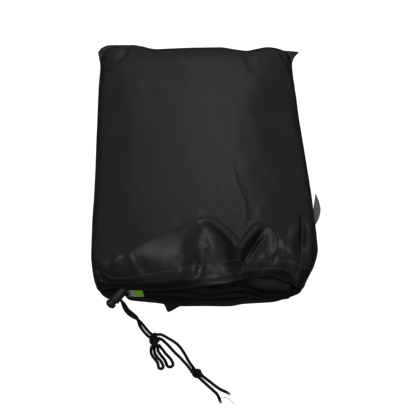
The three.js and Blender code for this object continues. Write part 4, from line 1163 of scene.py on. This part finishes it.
def cover_cloth():
    """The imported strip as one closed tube: its upper side and its lower side, round both edges."""
    rows = cover_rows()
    wide = 110

    def across_strip(column):
        return (column if column <= wide else 2 * wide - column) / wide

    def place(column, row):
        share = across_strip(column)
        side = 1 if column <= wide else -1
        layer, run, level, bend, out, face = rows[row]
        taper = math.sqrt(max(0, 1 - abs(2 * share - 1) ** 40))
        taper *= math.sqrt(clamped(min(row, len(rows) - 1 - row) / 3))
        half = side * layer_fill / 2 * taper
        start, end = fold_end(layer - 1, share), fold_end(layer, share)
        y = mix(start, end, run) + (bend + out * half) * 2 * bend_depth
        reach = clamped(y, mouth_y, 120)
        x = mix(cover_left(reach), cover_right(reach), share)
        floor, top = room_for(x, max(y, mouth_y + 3))
        level = (level + face * half) / layers
        in_roll = ease((x - 34) / 30) * ease((92 - x) / 10) * ease((-112 - y) / 22)
        level = mix(level, roll_level(level, x), in_roll)
        y -= roll_out * in_roll * math.sqrt(clamped(1 - ((level - 0.45) / 0.5) ** 2))
        hang = ease((hang_from - y) / 5) if layer == 0 else 0
        slack = ease(4 * level) * ease(4 * (1 - level))
        wave = 0.7 * noise.noise((x / 26, y / 40, 2.2))
        wave += 0.35 * noise.noise((x / 9, y / 30, layer * 3.7))
        wave *= slack
        near_mouth = 1 - ease((y + 150) / 40)
        y += near_mouth * (0.9 * noise.noise((x / 24, layer * 5.1, 3.3))
                           + 0.4 * noise.noise((x / 8, layer * 2.3, 9.1)))
        return in_frame(Vector((x, y, mix(floor, top, level) + wave - mix(0, floor - 0.7, hang))))

    # The roll's upper layers are marked, so that the finish paints them lighter: painted light on the roll.
    def rolled_out(column, row):
        x, level = mix(*cover_front, across_strip(column)), rows[row][2]
        in_width = ease((x - 40) / 10) * ease((cover_front[1] - x) / 6)
        return in_width * ease((level - 4.7) / 0.3) * ease((7.3 - level) / 0.3)

    cloth = woven_grid(2 * wide, len(rows) - 1, place, rolled_out)
    bmesh.ops.remove_doubles(cloth, verts=cloth.verts, dist=1e-7)
    return cloth


# The cover's cloth colours are much darker than the sack's: painted shade for the inside of the mouth; tone(0.02) on
# the roll is painted light.
cover_finish = coated_cloth(
    "cover_cloth", tone(0.0015), tone(0.0035), 0.55, tone(0.02), 0.5, shine=0.2)
cover = finished_piece("folded_cover_cloth", cover_cloth(), cover_finish, "pack", "cover_cloth")
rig.replaces(cover, "folded_cover")
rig.sheet(cover, flat=(0.19, 2.15), held="folded", rests_on=["sack_cloth"])


# Mouth label: a short woven strip in three colours, folded over and sewn by its upper edge, which
# leans against the cover's folds at the left of the mouth. It is plain, without words.
label_left, label_right, label_top, label_bottom, label_y = -75.5, -60.5, 20.4, 12.6, -149.9
label_lean, label_skew = 2.6, 1.6


def mouth_label_cloth():
    """A strip that leans back, bows a little and lies a little askew."""
    columns, rows = 36, 24

    def place(column, row):
        share, up = column / columns, row / rows
        bow = 0.9 * (up - 0.5) ** 2 + 0.35 * math.sin(5 * share + 1)
        return in_frame(Vector((
            mix(label_left, label_right, share) + label_skew * (0.5 - up),
            label_y + label_lean * (up - 0.5) + bow,
            mix(label_bottom, label_top, up))))

    return woven_grid(columns, rows, place)


def label_finish():
    """Woven bands of yellow-green, grey and green, with a painted highlight along the lower edge where the strip
    turns, and painted shade between the threads of the weave.
    """
    finish = Finish("woven_label", Specular_IOR_Level=0.3, Sheen_Weight=0.3)
    own = finish.node("ShaderNodeUVMap", {"uv_map": "UVMap"})
    across = finish.node("ShaderNodeSeparateXYZ", {}, {0: own}, output=0)
    up = finish.node("ShaderNodeSeparateXYZ", {}, {0: own}, output=1)
    ribs = finish.node("ShaderNodeMath", {"operation": "SINE"}, {0: across * 400})
    picks = finish.node("ShaderNodeMath", {"operation": "SINE"}, {0: up * 260})
    weave = (ribs * 0.25 + picks * 0.25 + 0.5).clipped()
    is_green = ((across - 0.44) * 60).clipped()
    is_grey = ((across - 0.14) * 60).clipped()
    # Lighter towards the lower edge: painted highlight on the fold; the yellow band shows its colour only there.
    painted_fold_highlight = ((0.2 - up) * 14).clipped()
    green = finish.blend(
        (painted_fold_highlight * 0.8 + weave * 0.2).clipped(), (0.22, 0.62, 0.03, 1), (0.5, 0.95, 0.1, 1))
    grey = finish.blend((painted_fold_highlight * 0.7 + weave * 0.25).clipped(), tone(0.3), tone(0.75))
    yellow = finish.blend(painted_fold_highlight, (0.03, 0.04, 0.012, 1), (0.35, 0.42, 0.12, 1))
    colour = finish.blend(is_green, finish.blend(is_grey, yellow, grey), green)
    relief = finish.relief(weave, 0.00012)
    return finish.feed(Base_Color=colour, Roughness=0.85 - weave * 0.15, Normal=relief)


mouth_label = finished_piece(
    "mouth_label_cloth", mouth_label_cloth(), label_finish(), "pack", "woven_label")
give_wall(mouth_label, 0.0006, 0)
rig.replaces(mouth_label, "mouth_label")
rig.sheet(mouth_label, flat=(0.0155, 0.0105), held="laid", rests_on=["folded_cover_cloth"])


# Side label: a small leaf of thin, slightly clear nonwoven, sewn into the right seam by its lower
# half. It is plain, without words.
side_label_at = Vector((112.3, -66, 28))
side_label_near, side_label_far = -19.5, 18


def side_label_cloth():
    """A leaf with rounded ends, which hangs a little outwards from the seam."""
    turn = Matrix.Rotation(math.radians(-12), 3, "Y")
    columns, rows = 12, 40

    def place(column, row):
        share, y = column / columns, mix(side_label_near, side_label_far, row / rows)
        from_near = y - side_label_near
        if y < 0:
            inner = 0.6 + 0.3 * clamped(from_near / -side_label_near)
        else:
            inner = 0.9 + 4.0 * (y / side_label_far) ** 1.15
        if y < 3:
            outer = 0.6 + 7.6 * math.sin(math.pi / 2 * clamped(from_near / 20)) ** 0.8
        else:
            outer = 7.9 - 3.0 * ((y - 3) / 15) ** 1.7
        x = mix(inner, max(inner, outer), share)
        wave = 0.25 * math.sin(0.5 * y) * share
        return in_frame(side_label_at + turn @ Vector((x, y, 0.5 + wave)))

    cloth = woven_grid(columns, rows, place)
    bmesh.ops.remove_doubles(cloth, verts=cloth.verts, dist=1e-6)
    return cloth


def side_label_finish():
    """Thin pressed fibres that let some light through."""
    finish = Finish("thin_label", Specular_IOR_Level=0.5, Transmission_Weight=0.25)
    fibre = finish.grain(900, detail=4, roughness=0.6, stretch=(1, 0.35, 1))
    colour = finish.blend(fibre, tone(0.13), tone(0.26))
    relief = finish.relief(fibre, 0.0001)
    return finish.feed(Base_Color=colour, Roughness=0.4 + fibre * 0.25, Normal=relief)


side_label = finished_piece(
    "side_label_cloth", side_label_cloth(), side_label_finish(), "pack", "plain_label")
give_wall(side_label, 0.0003, 0)
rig.replaces(side_label, "side_label")
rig.sheet(side_label, flat=(0.01, 0.0375), area=0.00021, held="laid", rests_on=["sack_cloth"])


# Cord lock: a moulded nylon barrel with a cross hole, and a spring plunger whose slot grips both
# strands. The plunger slides along the barrel when its head is pressed.
lock_head = in_frame(Vector((-92.1, -153.7, 5.65)))
lock_axis = Vector((0.671, 0.686, 0.28)).normalized()
lock_side = Vector((lock_axis.y, -lock_axis.x, 0)).normalized()
lock_place = Matrix.Translation(lock_head) @ Matrix((
    lock_side, lock_axis.cross(lock_side), lock_axis)).transposed().to_4x4()


def turned_part(profile, steps=56):
    """A turned part: its half section, as radius and distance along the lock in millimetres,
    spun once round."""
    part = bmesh.new()
    part.loops.layers.uv.new("UVMap")
    section = [part.verts.new((radius / 1000, 0, along / 1000)) for radius, along in profile]
    edges = [part.edges.new(pair) for pair in zip(section, section[1:])]
    bmesh.ops.spin(
        part, geom=section + edges, cent=(0, 0, 0), axis=(0, 0, 1), angle=2 * math.pi,
        steps=steps, use_merge=True)
    bmesh.ops.remove_doubles(part, verts=part.verts, dist=1e-6)
    bmesh.ops.recalc_face_normals(part, faces=part.faces)
    return part


def cut_through(part, cutter, name, finish, body):
    """The turned part with a hole or slot cut through it and its edges eased, laid in place."""
    piece = finished_piece(name, part, finish, body, "lock_plastic")
    mesh = bpy.data.meshes.new("cutter")
    cutter.to_mesh(mesh)
    cutter.free()
    tool = bpy.data.objects.new("cutter", mesh)
    scene.collection.objects.link(tool)
    cut = piece.modifiers.new("hole", "BOOLEAN")
    cut.operation, cut.object, cut.solver = "DIFFERENCE", tool, "EXACT"
    eased = piece.modifiers.new("eased", "BEVEL")
    eased.width, eased.segments = 0.00022, 3
    eased.limit_method, eased.angle_limit = "ANGLE", math.radians(35)
    bpy.context.view_layer.update()
    ready = piece.evaluated_get(bpy.context.evaluated_depsgraph_get())
    piece.data = bpy.data.meshes.new_from_object(ready)
    piece.modifiers.clear()
    piece.data.transform(lock_place)
    bpy.data.objects.remove(tool)
    bpy.data.meshes.remove(mesh)
    return piece


def plastic_finish():
    """Black nylon from the mould: a fine grain, a little polished by hands."""
    finish = Finish("moulded_black_plastic", Specular_IOR_Level=0.5)
    grain = finish.grain(2400, detail=3)
    wear = finish.grain(300, detail=4)
    colour = finish.blend(wear, tone(0.005), tone(0.011))
    relief = finish.relief(grain, 0.00004)
    return finish.feed(
        Base_Color=colour, Roughness=0.36 + wear * 0.12 + grain * 0.08, Normal=relief)


moulded_plastic = plastic_finish()
barrel = turned_part((
    (0, 18), (4.3, 18), (4.3, 2.8), (4.75, 2.8), (5.2, 3.0), (5.5, 3.5), (5.5, 4.3), (5.28, 4.55),
    (5.28, 17.6), (5.5, 17.9), (5.5, 18.7), (5.2, 19.25), (4.6, 19.5), (0, 19.5),
))
hole_radius, hole_at = 0.0035, 0.0074
hole = bmesh.new()
bmesh.ops.create_cone(
    hole, cap_ends=True, segments=48, radius1=hole_radius, radius2=hole_radius, depth=0.03,
    matrix=Matrix.Translation((0, 0, hole_at)) @ Matrix.Rotation(math.pi / 2, 4, "Y"))
lock_barrel = cut_through(barrel, hole, "lock_barrel", moulded_plastic, "pack")
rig.replaces(lock_barrel, "toggle_barrel")

plunger = turned_part((
    (0, -5.2), (1.6, -5.05), (3.0, -4.6), (4.1, -3.8), (4.8, -2.9), (5.15, -2.0), (5.2, -1.2),
    (5.2, -0.3), (5.0, 0.2), (4.6, 0.5), (4.0, 0.5), (4.0, 14.9), (3.5, 15.4), (0, 15.4),
))
slot_size, slot_at = (0.016, 0.0067, 0.0058, 1), 0.0064
slot = bmesh.new()
bmesh.ops.create_cube(
    slot, size=1, matrix=Matrix.Translation((0, 0, slot_at)) @ Matrix.Diagonal(slot_size))
lock_plunger = cut_through(plunger, slot, "lock_plunger", moulded_plastic, "plunger")
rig.replaces(lock_plunger, "toggle_plunger")


# Floor and light: a plain white studio floor, which shows white but throws no light back up; a
# long soft strip lamp over the far end, a soft lamp beside the camera, and a dim room above.
floor_plane = bmesh.new()
floor_plane.loops.layers.uv.new("UVMap")
bmesh.ops.create_grid(floor_plane, x_segments=1, y_segments=1, size=3)
floor_finish = Finish("white_floor", Roughness=0.9, Specular_IOR_Level=0.1, Emission_Strength=0.93)
floor_finish.shader.inputs["Emission Color"].default_value = (1, 1, 1, 1)
floor_finish.feed(Base_Color=floor_finish.blend(floor_finish.grain(3), tone(0.84), tone(0.87)))
floor_mesh = bpy.data.meshes.new("floor")
floor_plane.to_mesh(floor_mesh)
floor_plane.free()
floor_mesh.materials.append(floor_finish.material)
studio_floor = bpy.data.objects.new("floor", floor_mesh)
studio_floor.visible_glossy = False
studio_floor.visible_diffuse = False
scene.collection.objects.link(studio_floor)
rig.stage(studio_floor)


def soft_lamp(name, place, target, wide, long, watts):
    """A soft oval lamp at a place, turned towards its target."""
    data = bpy.data.lights.new(name, "AREA")
    data.shape, data.size, data.size_y, data.energy = "ELLIPSE", wide, long, watts
    lamp = bpy.data.objects.new(name, data)
    lamp.location = place
    lamp.rotation_euler = (Vector(place) - Vector(target)).to_track_quat("Z", "Y").to_euler()
    scene.collection.objects.link(lamp)


soft_lamp("far_strip", (0.022, 0.85, 1.25), (0.022, 0.02, 0.05), 0.06, 1.1, 1.32)
soft_lamp("front_lamp", (-0.2, -0.75, 1.35), (0, -0.1, 0), 0.9, 0.45, 3.4)

# The room's light fades from overhead down to the horizon.
room = bpy.data.worlds.new("room")
room.use_nodes = True
sky = room.node_tree.nodes["Background"]
sky.inputs["Strength"].default_value = 0.28
toward = room.node_tree.nodes.new("ShaderNodeTexCoord")
upwards = room.node_tree.nodes.new("ShaderNodeSeparateXYZ")
dusk = room.node_tree.nodes.new("ShaderNodeMapRange")
dusk.inputs["From Min"].default_value, dusk.inputs["From Max"].default_value = -0.2, 0.25
dusk.inputs["To Min"].default_value = 0.12
room.node_tree.links.new(toward.outputs["Generated"], upwards.inputs[0])
room.node_tree.links.new(upwards.outputs["Z"], dusk.inputs["Value"])
room.node_tree.links.new(dusk.outputs["Result"], sky.inputs["Color"])
scene.world = room
scene.view_settings.view_transform = "Standard"

json.dump({"cad": cad_box, "visual": [list(corner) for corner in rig.bounds()]},
          open("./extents.json", "w"))
